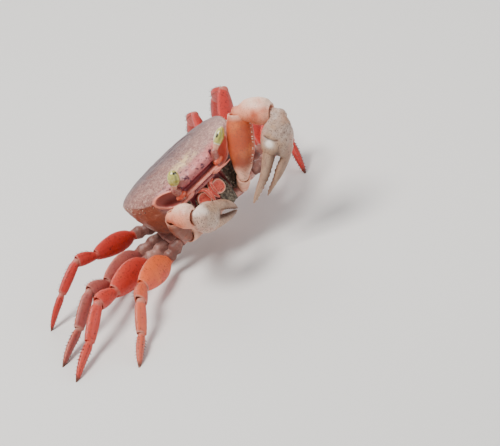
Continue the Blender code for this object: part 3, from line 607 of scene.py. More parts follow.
def makeStalkSkin():
    material, tree, shader, coords = startMaterial("stalkSkin")
    fine = noiseAt(tree, coords, 800, 4, 0.6, 4.0)
    c = stalkColours
    colour = layered(tree, c["dark"], [
        (c["pale"], between(tree, fine, 0.42, 0.66)),
        (c["upper"], "upper"),
    ])
    bumped(tree, shader, [(fine, 0.3, 0.0003)])
    dressed(tree, shader, colour, 0.28, 0.48, fine, {"Coat Weight": 0.2, "Coat Roughness": 0.2})
    return material


shellSkin = makeShellSkin()
legSkin = makeLegSkin()
armSkin = makeArmSkin()
mouthSkin = makeMouthSkin()
eyeSkin = makeEyeSkin()
stalkSkin = makeStalkSkin()
bellySkin, jointSkin, feltSkin, hairSkin = map(makePlainSkin, list(plainForms)[:4])
lobeSkin, spineSkin, pearlSkin = map(makePlainSkin, list(plainForms)[4:])
print("skins ready")


# Spines, beads and bristles
hairForm = {
    "marginCount": 90,
    "marginLength": (0.0002, 0.00045),
    "feltCount": 900,
    "feltLength": (0.014, 0.026),
    "legRows": ((0.15, 0.98), (-0.55, 0.80), (0.75, 0.60)),
    "legCount": 13,
    "legLength": (0.018, 0.034),
    "tiles": 8,
    "patchRadius": 0.0015,
    "lowestTip": 0.0001,
}
# what grows: finish, slot, root and tip radius as shares of the length, sides, laid on an unwrap
growthForm = {
    "marginBeads": (pearlSkin, "shell", 0.50, 0.15, 8, False),
    "cheekFelt": (hairSkin, "shell", 0.10, 0.02, 4, True),
    "legBristles": (hairSkin, "leg", 0.055, 0.01, 4, True),
    "footSpines": (spineSkin, "foot", 0.24, 0.03, 6, False),
    "armBeads": (pearlSkin, "arm", 0.45, 0.12, 8, False),
}
growths = {name: ([], [], [], []) for name in growthForm}


def addGrowth(name, root, way, length, patch=(0.0, 0.0)):
    # root and way are in the world; patch is the root's place on the unwrap
    for values, value in zip(growths[name], (root, way, length, patch)):
        values.append(value)


def makeSpineTree():
    # a cone on every point, turned along the point's way and scaled by its size
    tree = bpy.data.node_groups.new("spinesOnPoints", "GeometryNodeTree")
    face = tree.interface
    face.new_socket("Points", in_out="INPUT", socket_type="NodeSocketGeometry")
    for label, value in (("Root radius", 0.3), ("Tip radius", 0.04), ("Length", 1.0)):
        face.new_socket(label, in_out="INPUT", socket_type="NodeSocketFloat").default_value = value
    face.new_socket("Sides", in_out="INPUT", socket_type="NodeSocketInt").default_value = 6
    face.new_socket("Rings", in_out="INPUT", socket_type="NodeSocketInt").default_value = 2
    face.new_socket("Finish", in_out="INPUT", socket_type="NodeSocketMaterial")
    face.new_socket("Spines", in_out="OUTPUT", socket_type="NodeSocketGeometry")
    inside, outside = tree.nodes.new("NodeGroupInput"), tree.nodes.new("NodeGroupOutput")
    cone = tree.nodes.new("GeometryNodeMeshCone")
    for source, target in (
        ("Sides", "Vertices"),
        ("Rings", "Side Segments"),
        ("Tip radius", "Radius Top"),
        ("Root radius", "Radius Bottom"),
        ("Length", "Depth"),
    ):
        tree.links.new(inside.outputs[source], cone.inputs[target])
    way = tree.nodes.new("GeometryNodeInputNamedAttribute")
    way.data_type = "FLOAT_VECTOR"
    way.inputs["Name"].default_value = "way"
    size = tree.nodes.new("GeometryNodeInputNamedAttribute")
    size.data_type = "FLOAT"
    size.inputs["Name"].default_value = "size"
    aim = tree.nodes.new("FunctionNodeAlignRotationToVector")
    aim.axis = "Z"
    tree.links.new(way.outputs["Attribute"], aim.inputs["Vector"])
    grow = tree.nodes.new("GeometryNodeInstanceOnPoints")
    tree.links.new(inside.outputs["Points"], grow.inputs["Points"])
    tree.links.new(cone.outputs["Mesh"], grow.inputs["Instance"])
    tree.links.new(aim.outputs["Rotation"], grow.inputs["Rotation"])
    tree.links.new(size.outputs["Attribute"], grow.inputs["Scale"])
    real = tree.nodes.new("GeometryNodeRealizeInstances")
    tree.links.new(grow.outputs["Instances"], real.inputs["Geometry"])
    finish = tree.nodes.new("GeometryNodeSetMaterial")
    tree.links.new(real.outputs["Geometry"], finish.inputs["Geometry"])
    tree.links.new(inside.outputs["Finish"], finish.inputs["Material"])
    tree.links.new(finish.outputs["Geometry"], outside.inputs["Spines"])
    return tree


spineTree = makeSpineTree()


def growSpines(name):
    # one point for each root, and a cone on each point whose tip stays above the floor
    skin, slotName, rootRadius, tipRadius, sideCount, unwrapped = growthForm[name]
    grown = zip(*growths[name])
    lowest = hairForm["lowestTip"]
    grown = [row for row in grown if row[0].z + row[1].z * row[2] > lowest]
    roots, ways, lengths, patches = zip(*grown)
    mesh = bpy.data.meshes.new(name + "Roots")
    mesh.from_pydata([tuple(root) for root in roots], [], [])
    layer = mesh.attributes.new("way", "FLOAT_VECTOR", "POINT")
    layer.data.foreach_set("vector", np.array(ways, np.float32).reshape(-1))
    setMask(mesh, "size", lengths)
    if unwrapped:
        for axis, key in enumerate(("bakeU", "bakeV")):
            setMask(mesh, key, [patch[axis] for patch in patches])
    seedBed = bpy.data.objects.new(name + "Roots", mesh)
    bpy.context.scene.collection.objects.link(seedBed)
    modifier = seedBed.modifiers.new("spines", "NODES")
    modifier.node_group = spineTree
    items = [item for item in spineTree.interface.items_tree if item.in_out == "INPUT"]
    inputs = {item.name: item.identifier for item in items}
    modifier[inputs["Root radius"]] = rootRadius
    modifier[inputs["Tip radius"]] = tipRadius
    modifier[inputs["Length"]] = 1.0
    modifier[inputs["Sides"]] = sideCount
    modifier[inputs["Rings"]] = 1
    modifier[inputs["Finish"]] = skin
    mesh = evaluated(seedBed)
    seedBed.modifiers.remove(modifier)
    bpy.data.objects.remove(seedBed)
    mesh.name = name
    if unwrapped:
        layPatches(mesh)
    place(name, mesh, skin, None)


def layPatches(mesh):
    # each bristle lies on a small patch, at its root's place on the skin's unwrap
    corners = np.zeros(len(mesh.loops), np.int32)
    mesh.loops.foreach_get("vertex_index", corners)
    places = []
    for key in ("bakeU", "bakeV"):
        values = np.zeros(len(mesh.vertices), np.float32)
        mesh.attributes[key].data.foreach_get("value", values)
        places.append(values[corners])
    shift = np.zeros((len(corners), 2))
    for face in mesh.polygons:
        turn = 2 * np.pi * np.arange(face.loop_total) / face.loop_total
        rows = slice(face.loop_start, face.loop_start + face.loop_total)
        shift[rows] = hairForm["patchRadius"] * np.stack([np.cos(turn), np.sin(turn)], axis=-1)
    layer = mesh.uv_layers.new(name="OFBake")
    values = np.stack(places, axis=-1) + shift
    layer.data.foreach_set("uv", values.astype(np.float32).reshape(-1))


# Back shell
shellForm = {
    "levels": (
        (0, -0.335, 0.330, 0.290, 0.250, 0.045, 0.20),
        (1, -0.322, 0.385, 0.335, 0.300, 0.045, 0.20),
        (2, -0.270, 0.435, 0.365, 0.345, 0.040, 0.20),
        (3, -0.190, 0.465, 0.385, 0.375, 0.025, 0.22),
        (4, -0.120, 0.485, 0.402, 0.392, 0.010, 0.24),
        (5, -0.085, 0.491, 0.398, 0.396, 0.000, 0.25),
        (6, -0.040, 0.497, 0.418, 0.398, -0.010, 0.26),
        (7, 0.010, 0.500, 0.424, 0.392, -0.025, 0.27),
        (8, 0.040, 0.486, 0.403, 0.370, -0.030, 0.28),
        (9, 0.060, 0.450, 0.360, 0.330, -0.032, 0.28),
        (10, 0.075, 0.380, 0.285, 0.262, -0.030, 0.26),
        (11, 0.085, 0.265, 0.190, 0.175, -0.020, 0.20),
        (12, 0.090, 0.130, 0.090, 0.085, -0.010, 0.10),
        (12.6, 0.091, 0.020, 0.014, 0.013, -0.001, 0.02),
    ),
    # height and how far the front is pushed out there: lobe, groove, bar and mouth edge
    "frontProfile": (
        (-0.190, 0.0),
        (-0.155, 0.004),
        (-0.130, 0.002),
        (-0.121, -0.010),
        (-0.114, 0.012),
        (-0.101, 0.026),
        (-0.090, 0.020),
        (-0.082, -0.022),
        (-0.066, -0.030),
        (-0.053, -0.018),
        (-0.045, 0.006),
        (-0.034, 0.019),
        (-0.014, 0.026),
        (0.012, 0.023),
        (0.038, 0.013),
        (0.062, 0.003),
        (0.075, 0.0),
    ),
    "levelCount": 170,
    "sides": 340,
    "frontDensity": 0.45,
    "roundness": 0.84,
    "socketMiddle": (0.268, 0.392, -0.052),
    "socketRadii": (0.118, 0.085, 0.062),
    "socketTurn": (20, -24),
    "mouthHalf": 0.155,
    "mouthTop": -0.152,
    "mouthDepth": 0.335,
}


def levelGrid(levels, count, turn, power):
    # rings from rows of number, height, half width, reach to the front and the back, and how far
    # the back rises and narrows; the last result is each ring's own height
    rows = blended(levels, count)
    wide, deep = boxed(np.cos(turn), power), boxed(np.sin(turn), power)
    behind = np.maximum(deep, 0)
    reach = np.where(deep[None, :] > 0, rows[:, 4:5], rows[:, 3:4])
    x = rows[:, 2:3] * wide * (1 - rows[:, 6:7] * behind**2)
    y = reach * deep
    z = rows[:, 1:2] + rows[:, 5:6] * behind**1.5
    return x, y, z, rows[:, 1:2]


def socketSpace(x, y, z, sign):
    # position in an eye socket's own axes, where its wall lies at 1
    f = shellForm
    side, forward, up = f["socketMiddle"]
    turn = Matrix.Rotation(math.radians(sign * f["socketTurn"][0]), 3, "Z")
    turn = turn @ Matrix.Rotation(math.radians(sign * f["socketTurn"][1]), 3, "Y")
    inverse = np.array(turn.transposed())
    local = np.stack([x - sign * side, y + forward, z - up], axis=-1) @ inverse.T
    inward = inverse @ np.array([0.0, 1.0, 0.0])
    radii = np.array(f["socketRadii"])
    return local / radii, inward / radii


def plantMargin(points, band):
    # tiny pale beads scattered under the side margin
    picks = [int(i) for i in np.flatnonzero((band > 0.5).reshape(-1))]
    spread = random.Random(31)
    flat = points.reshape(-1, 3)
    for pick in spread.sample(picks, min(hairForm["marginCount"], len(picks))):
        away = flat[pick] - np.array([0, 0, flat[pick, 2]])
        away /= np.linalg.norm(away)
        root = bodyFrame @ (Vector(flat[pick]) * width)
        way = bodyFrame.to_3x3() @ Vector(away)
        addGrowth("marginBeads", root, way, spread.uniform(*hairForm["marginLength"]))


def plantFelt(points, felt):
    # short hair on the felted cheeks, lying down and forward
    rowCount, around = felt.shape
    picks = [int(i) for i in np.flatnonzero((felt > 0.45).reshape(-1))]
    spread = random.Random(23)
    flat = points.reshape(-1, 3)
    for pick in spread.sample(picks, min(hairForm["feltCount"], len(picks))):
        row, column = divmod(pick, around)
        ahead = flat[pick - around] - flat[pick + around]
        beside = flat[row * around + (column + 1) % around] - flat[row * around + column - 1]
        normal = np.cross(beside, ahead)
        normal *= np.sign(-normal[1]) / np.linalg.norm(normal)
        jitter = np.array([spread.uniform(-0.35, 0.35) for _ in range(3)])
        way = normal * 0.75 + np.array([0, -0.1, -0.6]) + jitter
        world = bodyFrame.to_3x3() @ Vector(way).normalized()
        root = bodyFrame @ (Vector(flat[pick] - normal * 0.002) * width)
        length = spread.uniform(*hairForm["feltLength"]) * width
        patch = (0.02 + 0.96 * column / around, 0.02 + 0.96 * row / rowCount)
        addGrowth("cheekFelt", root, world, length, patch)


def makeShell():
    f = shellForm
    base = ringAngles(f["sides"])
    # more points at the front, where the face is
    turn = base - f["frontDensity"] * np.sin(base - 1.5 * np.pi)
    x, y, z, _ = levelGrid(f["levels"], f["levelCount"], turn, f["roundness"])
    forward = -y
    frontFace = smooth(forward, 0.30, 0.38)
    margin = 0.04 - 0.04 * smooth(forward, 0.10, 0.36)
    # the front's turned-down lobe, the groove under it and the bar above the mouth
    lobe = np.interp(z, *zip(*f["frontProfile"]))
    middle = smooth(np.abs(x), 0.185, 0.150)
    y -= lobe * middle * frontFace
    dimple = bell(x, 0, 0.05) * bell(z, -0.03, 0.025)
    y += 0.008 * dimple * frontFace
    band = smooth(z, -0.115, -0.110) * smooth(z, -0.082, -0.088)
    band = band * smooth(np.abs(x), 0.175, 0.150) * frontFace
    knobs = bell(np.abs(x), 0.125, 0.018) + 0.7 * bell(x, 0, 0.014)
    y -= 0.005 * knobs * band
    spots = np.stack([x, y, z], axis=-1).reshape(-1, 3)
    pits = np.maximum(grain(spots, 55, 9.0), 0).reshape(x.shape)
    waves = grain(spots, 30, 12.0).reshape(x.shape)
    turned = middle * frontFace * smooth(z, -0.050, -0.036) * smooth(z, 0.07, 0.03)
    y += (0.008 * pits + 0.006 * waves) * turned
    # eye sockets with raised rims
    rimMask = np.zeros_like(x)
    socketMask = np.zeros_like(x)
    for sign in (1, -1):
        local, inward = socketSpace(x, y, z, sign)
        size = np.linalg.norm(local, axis=-1)
        near = (forward > 0.2) & (np.sign(x) == sign)
        a = (inward**2).sum()
        b = (local * inward).sum(-1)
        c = (local**2).sum(-1) - 1
        depth = np.where(size < 1, (-b + np.sqrt(np.maximum(b**2 - a * c, 0))) / a, 0)
        y += np.where(near, depth * smooth(size, 1.0, 0.86), 0)
        flat = np.linalg.norm(local * np.array([1, 0.35, 1]), axis=-1)
        ridge = bell(flat, 1.06, 0.085) * near
        rimMask = np.maximum(rimMask, ridge)
        socketMask = np.maximum(socketMask, smooth(flat, 1.0, 0.82) * near)
        y -= 0.010 * ridge
    # mouth frame
    inMouth = smooth(np.abs(x), f["mouthHalf"] + 0.004, f["mouthHalf"] - 0.006)
    inMouth = inMouth * smooth(z, f["mouthTop"] + 0.003, f["mouthTop"] - 0.005) * (forward > 0.2)
    y += (forward - f["mouthDepth"]) * inMouth * (forward > f["mouthDepth"])
    frameRidge = bell(np.abs(x), f["mouthHalf"] + 0.012, 0.007)
    frameRidge = frameRidge * smooth(z, -0.14, -0.16) * frontFace
    y -= 0.008 * frameRidge
    # the side margin's fine ridge
    sideways = smooth(np.abs(x), 0.34, 0.40)
    ridge = bell(z, margin, 0.009) * sideways * smooth(forward, -0.16, 0.0)
    push = 1 + 0.016 * ridge
    x *= push
    y *= push
    # the back's furrows
    radius = np.hypot(x / 0.24, (y - 0.02) / 0.17)
    furrow = bell(radius, 1, 0.05) * smooth(np.abs(x), 0.06, 0.12) * (z > 0.03)
    z -= 0.009 * furrow
    bar = bell(y, 0.10, 0.012) * smooth(np.abs(x), 0.14, 0.09) * (z > 0.03)
    z -= 0.007 * bar
    gastric = bell(x, 0, 0.012) * smooth(forward, 0.10, 0.2) * (z > 0.0)
    z -= 0.006 * gastric
    points = np.stack([x, y, z], axis=-1)
    flat = points.reshape(-1, 3)
    roughness = grain(flat, 18, 2.0) * 0.004 + grain(flat, 60, 5.0) * 0.0014
    roughness = roughness.reshape(x.shape)
    away = points - np.array([0, 0, -0.12])
    away /= np.linalg.norm(away, axis=-1)[..., None]
    points = points + away * roughness[..., None]
    below = smooth(z, margin + 0.004, margin - 0.012)
    cove = smooth(z, -0.038, -0.052) * smooth(z, -0.088, -0.080) * middle * frontFace
    slit = bell(z, -0.121, 0.005) * middle * frontFace
    felt = smooth(np.abs(x), 0.150, 0.175) * smooth(np.abs(x), 0.33, 0.24)
    felt = felt * smooth(forward, 0.24, 0.30) * smooth(z, -0.120, -0.150) * (1 - rimMask)
    # pale patch between the eyes, partly a painted highlight on the lit top of the front
    cream = smooth(forward, 0.20, 0.31) * smooth(forward, 0.385, 0.34)
    magenta = smooth(forward, 0.29, 0.385) * smooth(z, 0.072, 0.03)
    attributes = {
        "dorsal": smooth(z, -0.02, 0.04),
        "frontness": smooth(forward + np.abs(x) * 0.30, -0.28, 0.40),
        "magenta": magenta * smooth(np.abs(x), 0.44, 0.30),
        "crimson": smooth(z, 0.005, -0.040) * middle * frontFace * (z > -0.06),
        # painted shade in the right eye socket's hollow (the depth mask)
        "depth": socketMask * smooth(z, -0.04, -0.085) * (x < 0),
        # painted light: bright coral on the left eye socket only
        "litSocketBlush": socketMask * (x > 0),
        "flank": below * smooth(np.abs(x) + (0.36 - forward) * 0.6, 0.36, 0.42),
        # painted shade, darker towards the bottom
        "flankLowShade": smooth(z, -0.06, -0.30),
        "cream": cream * smooth(np.abs(x), 0.15, 0.05) * (z > 0),
        "coral": np.maximum(band, rimMask),
        "rim": rimMask * (0.65 - 0.25 * (x > 0)),
        "socket": socketMask,
        "felt": felt,
        # dark crimson in the mouth, cove and slit: partly own colour, partly painted shade in these
        # recesses
        "groove": np.clip(inMouth + cove + slit, 0, 1),
    }
    plantFelt(points, felt)
    plantMargin(points, below * sideways * smooth(z, margin - 0.075, margin - 0.040))
    mesh = ringMesh("carapaceShell", points * width, attributes)
    return place("carapaceShell", moved(mesh, bodyFrame), shellSkin, ["carapace"])


makeShell()
print("back shell ready")


# Underside
legRoots = {
    1: (0.215, 0.255, -0.400),
    2: (0.380, 0.155, -0.400),
    3: (0.430, 0.000, -0.390),
    4: (0.410, -0.155, -0.365),
    5: (0.350, -0.275, -0.315),
}
plateForm = {
    "levels": (
        (0, -0.452, 0.120, 0.090, 0.095, 0.030, 0.10),
        (1, -0.450, 0.240, 0.180, 0.190, 0.040, 0.10),
        (2, -0.440, 0.285, 0.220, 0.225, 0.042, 0.10),
        (3, -0.400, 0.310, 0.240, 0.245, 0.044, 0.12),
        (4, -0.350, 0.300, 0.235, 0.235, 0.045, 0.15),
        (5, -0.342, 0.280, 0.220, 0.220, 0.045, 0.15),
    ),
    "rootSizes": (
        (0.0, 0.040, 0.040, 0.045),
        (0.5, 0.047, 0.047, 0.051),
        (0.9, 0.044, 0.044, 0.048),
        (1.0, 0.040, 0.040, 0.044),
    ),
}


def makePlate():
    x, y, z, level = levelGrid(plateForm["levels"], 40, ringAngles(140), 0.86)
    # seams between the plate's segments run out to the leg roots
    seams = np.zeros_like(x)
    for forward in (0.20, 0.08, -0.075, -0.21):
        line = -y - forward - 0.25 * np.abs(x) * np.sign(forward + 0.02)
        seams = np.maximum(seams, bell(line, 0, 0.008) * smooth(np.abs(x), 0.10, 0.14))
    z = z + 0.010 * seams * (level < -0.40)
    mesh = ringMesh("sternumPlate", np.stack([x, y, z], axis=-1) * width, {})
    place("sternumPlate", moved(mesh, bodyFrame), bellySkin, ["sternum"])
    for sideName, sign in sides.items():
        for number, (side, forward, up) in legRoots.items():
            near = Vector((sign * side * 0.5, -forward * 0.7, up + 0.004))
            far = Vector((sign * side, -forward, up))
            sizes = blended(plateForm["rootSizes"], 16)
            centres = [near.lerp(far, share) * width for share in sizes[:, 0]]
            rings, attributes = sweep(centres, (0, 0, 1), sizes[:, 1:] * width, 36)
            # the far end turns in to a cup for the next piece
            inner = centres[-1] - (far - near).normalized() * 0.03 * width
            ring = rings[-1] * 0.62 + np.array(inner) * 0.38
            rings = np.concatenate([rings, [ring]])
            attributes = {key: np.vstack([value, value[-1:]]) for key, value in attributes.items()}
            mesh = ringMesh(f"{sideName}Root{number}", rings, attributes)
            place(f"{sideName}Root{number}", moved(mesh, bodyFrame), jointSkin, None)


makePlate()

flapForm = {
    # forward, up, half width, half thickness; a pair of rows for each segment
    "rows": (
        (-0.312, -0.318, 0.105, 0.018),
        (-0.285, -0.372, 0.118, 0.020),
        (-0.230, -0.425, 0.110, 0.018),
        (-0.190, -0.446, 0.118, 0.020),
        (-0.130, -0.468, 0.092, 0.015),
        (-0.085, -0.476, 0.095, 0.018),
        (-0.040, -0.478, 0.068, 0.014),
        (0.010, -0.479, 0.068, 0.017),
        (0.070, -0.478, 0.044, 0.013),
        (0.110, -0.476, 0.014, 0.008),
    ),
}


def makeFlap():
    keys = [(index, *row) for index, row in enumerate(flapForm["rows"])]
    rows = blended(keys, 110)
    centres = np.stack([rows[:, 0] * 0, -rows[:, 1], rows[:, 2]], axis=-1) * width
    # each segment overlaps the next with a low step
    step = 0.004 * (1 - np.mod(rows[:, 0], 1.5) / 1.5)
    sizes = np.stack([rows[:, 4] + step, rows[:, 4], rows[:, 3]], axis=-1) * width
    rings, attributes = sweep(centres, (0, 0, -1), sizes, 48, box=0.9)
    mesh = ringMesh("tailFlap", rings, attributes)
    place("tailFlap", moved(mesh, bodyFrame), bellySkin, ["abdomen"])


makeFlap()
print("underside ready")


# Mouth
mouthForm = {
    "disc": ((0.072, 0.369, -0.228), (0.052, 0.024, 0.060)),
    "lower": ((0.080, 0.366, -0.330), (0.052, 0.021, 0.076)),
    "ribs": (
        (
            0.0155,
            (
                (0.036, 0.372, -0.160),
                (0.014, 0.390, -0.190),
                (0.012, 0.394, -0.240),
                (0.024, 0.388, -0.290),
            ),
        ),
        (
            0.0110,
            (
                (0.074, 0.374, -0.150),
                (0.040, 0.402, -0.162),
                (0.030, 0.406, -0.200),
                (0.030, 0.404, -0.250),
            ),
        ),
    ),
    "rod": (
        (0.118, 0.362, -0.400),
        (0.130, 0.362, -0.330),
        (0.132, 0.364, -0.250),
        (0.122, 0.366, -0.185),
    ),
}


def discMesh(name, middle, radii):
    # a plate with a raised cream rim and a dished face, seen from the front
    rows, around = 44, 56
    polar = np.pi * (np.arange(rows) + 0.5) / rows
    turn = ringAngles(around)
    edge = np.sin(polar)[:, None] * np.ones((1, around))
    x = edge * boxed(np.cos(turn), 0.88)
    z = edge * boxed(np.sin(turn), 0.88)
    y = np.cos(polar)[:, None] * np.ones((1, around))
    front = y < 0
    rim = bell(edge, 0.90, 0.07) * smooth(y, 0.3, 0.0)
    y = np.where(front, y * (0.55 + 0.45 * smooth(edge, 0.55, 0.85)), y)
    y -= 0.30 * rim
    points = np.stack([x * radii[0], y * radii[1], z * radii[2]], axis=-1)
    points += np.array([middle[0], -middle[1], middle[2]])
    return ringMesh(name, points * width, {"cream": rim * 0.9, "groove": np.zeros_like(x)})


def tubeMesh(name, points, radius, sign, edged=0.0):
    rows = blended([(i, sign * p[0], -p[1], p[2]) for i, p in enumerate(points)], 40)
    swell = 1 - 0.55 * smooth(np.linspace(0, 1, 40), 0.75, 1.0)
    swell = swell[:, None] * np.array([[0.8, 0.8, 1.0]])
    rings, attributes = sweep(rows[:, 1:] * width, (0, -1, 0), swell * radius * width, 20)
    edges = smooth(np.abs(attributes["wide"]), 0.70, 0.92) * edged
    return ringMesh(name, rings, {"cream": edges, "groove": attributes["along"] * 0})


def makeMouth():
    for sideName, sign in sides.items():
        node = "maxilliped_" + sideName
        for part, key, skin in (("Disc", "disc", mouthSkin), ("Lower", "lower", feltSkin)):
            middle, radii = mouthForm[key]
            mesh = discMesh(sideName + part, (sign * middle[0], middle[1], middle[2]), radii)
            place(sideName + "Mouth" + part, moved(mesh, bodyFrame), skin, [node])
        for number, (radius, points) in enumerate(mouthForm["ribs"], 1):
            rib = tubeMesh(f"{sideName}Rib{number}", points, radius, sign, 0.9)
            place(f"{sideName}MouthRib{number}", moved(rib, bodyFrame), mouthSkin, [node])
        rod = tubeMesh(sideName + "Rod", mouthForm["rod"], 0.012, sign)
        place(sideName + "MouthRod", moved(rod, bodyFrame), feltSkin, [node])


makeMouth()

feelerForm = {
    "rows": (
        (0.100, 0.395, -0.116, 0.014),
        (0.122, 0.410, -0.119, 0.018),
        (0.148, 0.420, -0.121, 0.016),
        (0.168, 0.427, -0.124, 0.008),
        (0.215, 0.427, -0.128, 0.006),
        (0.262, 0.420, -0.128, 0.004),
    ),
}


def makeFeelers():
    for sideName, sign in sides.items():
        keys = enumerate(feelerForm["rows"])
        rows = blended([(i, sign * s, -f, u, r) for i, (s, f, u, r) in keys], 90)
        ringed = 1 + 0.12 * np.sin(rows[:, 0] * 60) * (rows[:, 0] > 3)
        sizes = (rows[:, 4] * ringed)[:, None] * np.ones((1, 3))
        rings, attributes = sweep(rows[:, 1:4] * width, (0, 0, 1), sizes * width, 16)
        blank = attributes["along"] * 0
        mesh = ringMesh(sideName + "Antenna", rings, {"cream": blank + 0.25, "groove": blank})
        place(sideName + "Antenna", moved(mesh, bodyFrame), mouthSkin, ["antenna_" + sideName])


makeFeelers()

# Eyes
eyeForm = {
    "lean": {"left": (0.84, 0.06, 0.52), "right": (0.45, 0.36, 0.82)},
    "ball": (
        (0, 0.030),
        (0.012, 0.038),
        (0.032, 0.0445),
        (0.058, 0.0460),
        (0.084, 0.0410),
        (0.105, 0.0300),
        (0.118, 0.0150),
        (0.123, 0.004),
    ),
    "stalk": ((0.018, 0.020), (0.036, 0.021), (0.058, 0.026)),
    "base": {"left": 0.058, "right": 0.048},
    "stretch": {"left": 1.12, "right": 1.0},
    # each eye is narrower across its own direction
    "narrow": {"left": 0.80, "right": 0.97},
    "narrowWay": {"left": (0.467, 0.352, -0.794), "right": (-0.653, 0.0, -0.357)},
    "pupil": {
        "left": ((-0.13, 0.80, 0.75), (-0.31, 0.79, 0.64), (-0.49, 0.78, 0.53)),
        "right": ((0.26, 0.76, 0.60), (0.55, 0.70, 0.48)),
    },
    "stripe": {"left": (-0.05, 1.0, 0.15), "right": (0.10, 1.0, 0.05)},
    "sockets": (
        (0, 0.178, -0.366, -0.098, 0.036),
        (1, 0.190, -0.402, -0.050, 0.030),
        (2, 0.205, -0.430, -0.002, 0.026),
    ),
}


def facing(direction):
    way = np.array(direction, float) * np.array([1, -1, 1])
    return way / np.linalg.norm(way)


def makeEyes():
    e = eyeForm
    for sideName, sign in sides.items():
        upward = facing(e["lean"][sideName])
        lift = e["base"][sideName]
        path = [(step, sign * side, *rest) for step, side, *rest in e["sockets"]]
        bend = np.array(path[-1][1:4])
        for number, (reach, radius) in enumerate(e["stalk"]):
            path.append((3 + number * 0.7, *(bend + upward * reach * lift / 0.058), radius))
        rows = blended(path, 60)
        sizes = rows[:, 4:5] * np.ones((1, 3)) * width
        rings, attributes = sweep(rows[:, 1:4] * width, (0, -1, 0), sizes, 36)
        mesh = ringMesh(sideName + "Stalk", rings, {"upper": smooth(attributes["along"], 0.55, 0.90)})
        place(sideName + "EyeStalk", moved(mesh, bodyFrame), stalkSkin, ["eyestalk_" + sideName])
        rows = blended(e["ball"], 48)
        start = bend + upward * lift
        centres = start + upward * rows[:, 0:1] * e["stretch"][sideName]
        sizes = rows[:, 1:2] * np.ones((1, 3)) * width
        rings, attributes = sweep(centres * width, (0, -1, 0), sizes, 44)
        middle = (start + upward * 0.061) * width
        thin = facing(e["narrowWay"][sideName])
        offset = ((rings - middle) * thin).sum(-1)[..., None]
        rings = rings - offset * thin * (1 - e["narrow"][sideName])
        away = rings - middle
        away /= np.linalg.norm(away, axis=-1)[..., None]
        spots = [(away * facing(spot)).sum(-1) for spot in e["pupil"][sideName]]
        pupil = sum(smooth(spot, 0.974, 0.990) for spot in spots)
        front = facing(e["stripe"][sideName])
        sideways = np.cross(upward, front)
        sideways /= np.linalg.norm(sideways)
        along = attributes["along"]
        stripe = bell((away * sideways).sum(-1), 0, 0.17)
        stripe = stripe * smooth((away * front).sum(-1), 0.1, 0.5)
        stripe *= smooth(along, 0.15, 0.30) * smooth(along, 0.92, 0.75)
        # a pale foot, and on the left a pale inner margin
        margin = smooth(-(away * thin).sum(-1), 0.30, 0.88) * 0.9 * (sideName == "left")
        cream = np.maximum(smooth(along, 0.12, 0.02), margin)
        masks = {"pupil": np.clip(pupil, 0, 1), "cream": cream, "stripe": stripe * 0.8}
        mesh = ringMesh(sideName + "Eye", rings, masks)
        place(sideName + "Eye", moved(mesh, bodyFrame), eyeSkin, ["eye_" + sideName])
        lobe = ballMesh(sideName + "Lobe", (sign * 0.190, -0.412, -0.072), (0.044, 0.024, 0.024))
        place(sideName + "OrbitLobe", moved(lobe, bodyFrame), lobeSkin, None)


def ballMesh(name, middle, radii):
    polar = np.pi * (np.arange(24) + 0.5) / 24
    turn = ringAngles(32)
    x = np.sin(polar)[:, None] * np.cos(turn)
    y = np.sin(polar)[:, None] * np.sin(turn)
    z = np.cos(polar)[:, None] * np.ones((1, 32))
    points = np.stack([x, y, z], axis=-1) * np.array(radii)
    bumps = 1 + 0.07 * grain((points + np.array(middle)).reshape(-1, 3), 45, 7.0).reshape(x.shape)
    points = points * bumps[..., None] + np.array(middle)
    return ringMesh(name, points * width, {})


makeEyes()
print("mouth and eyes ready")

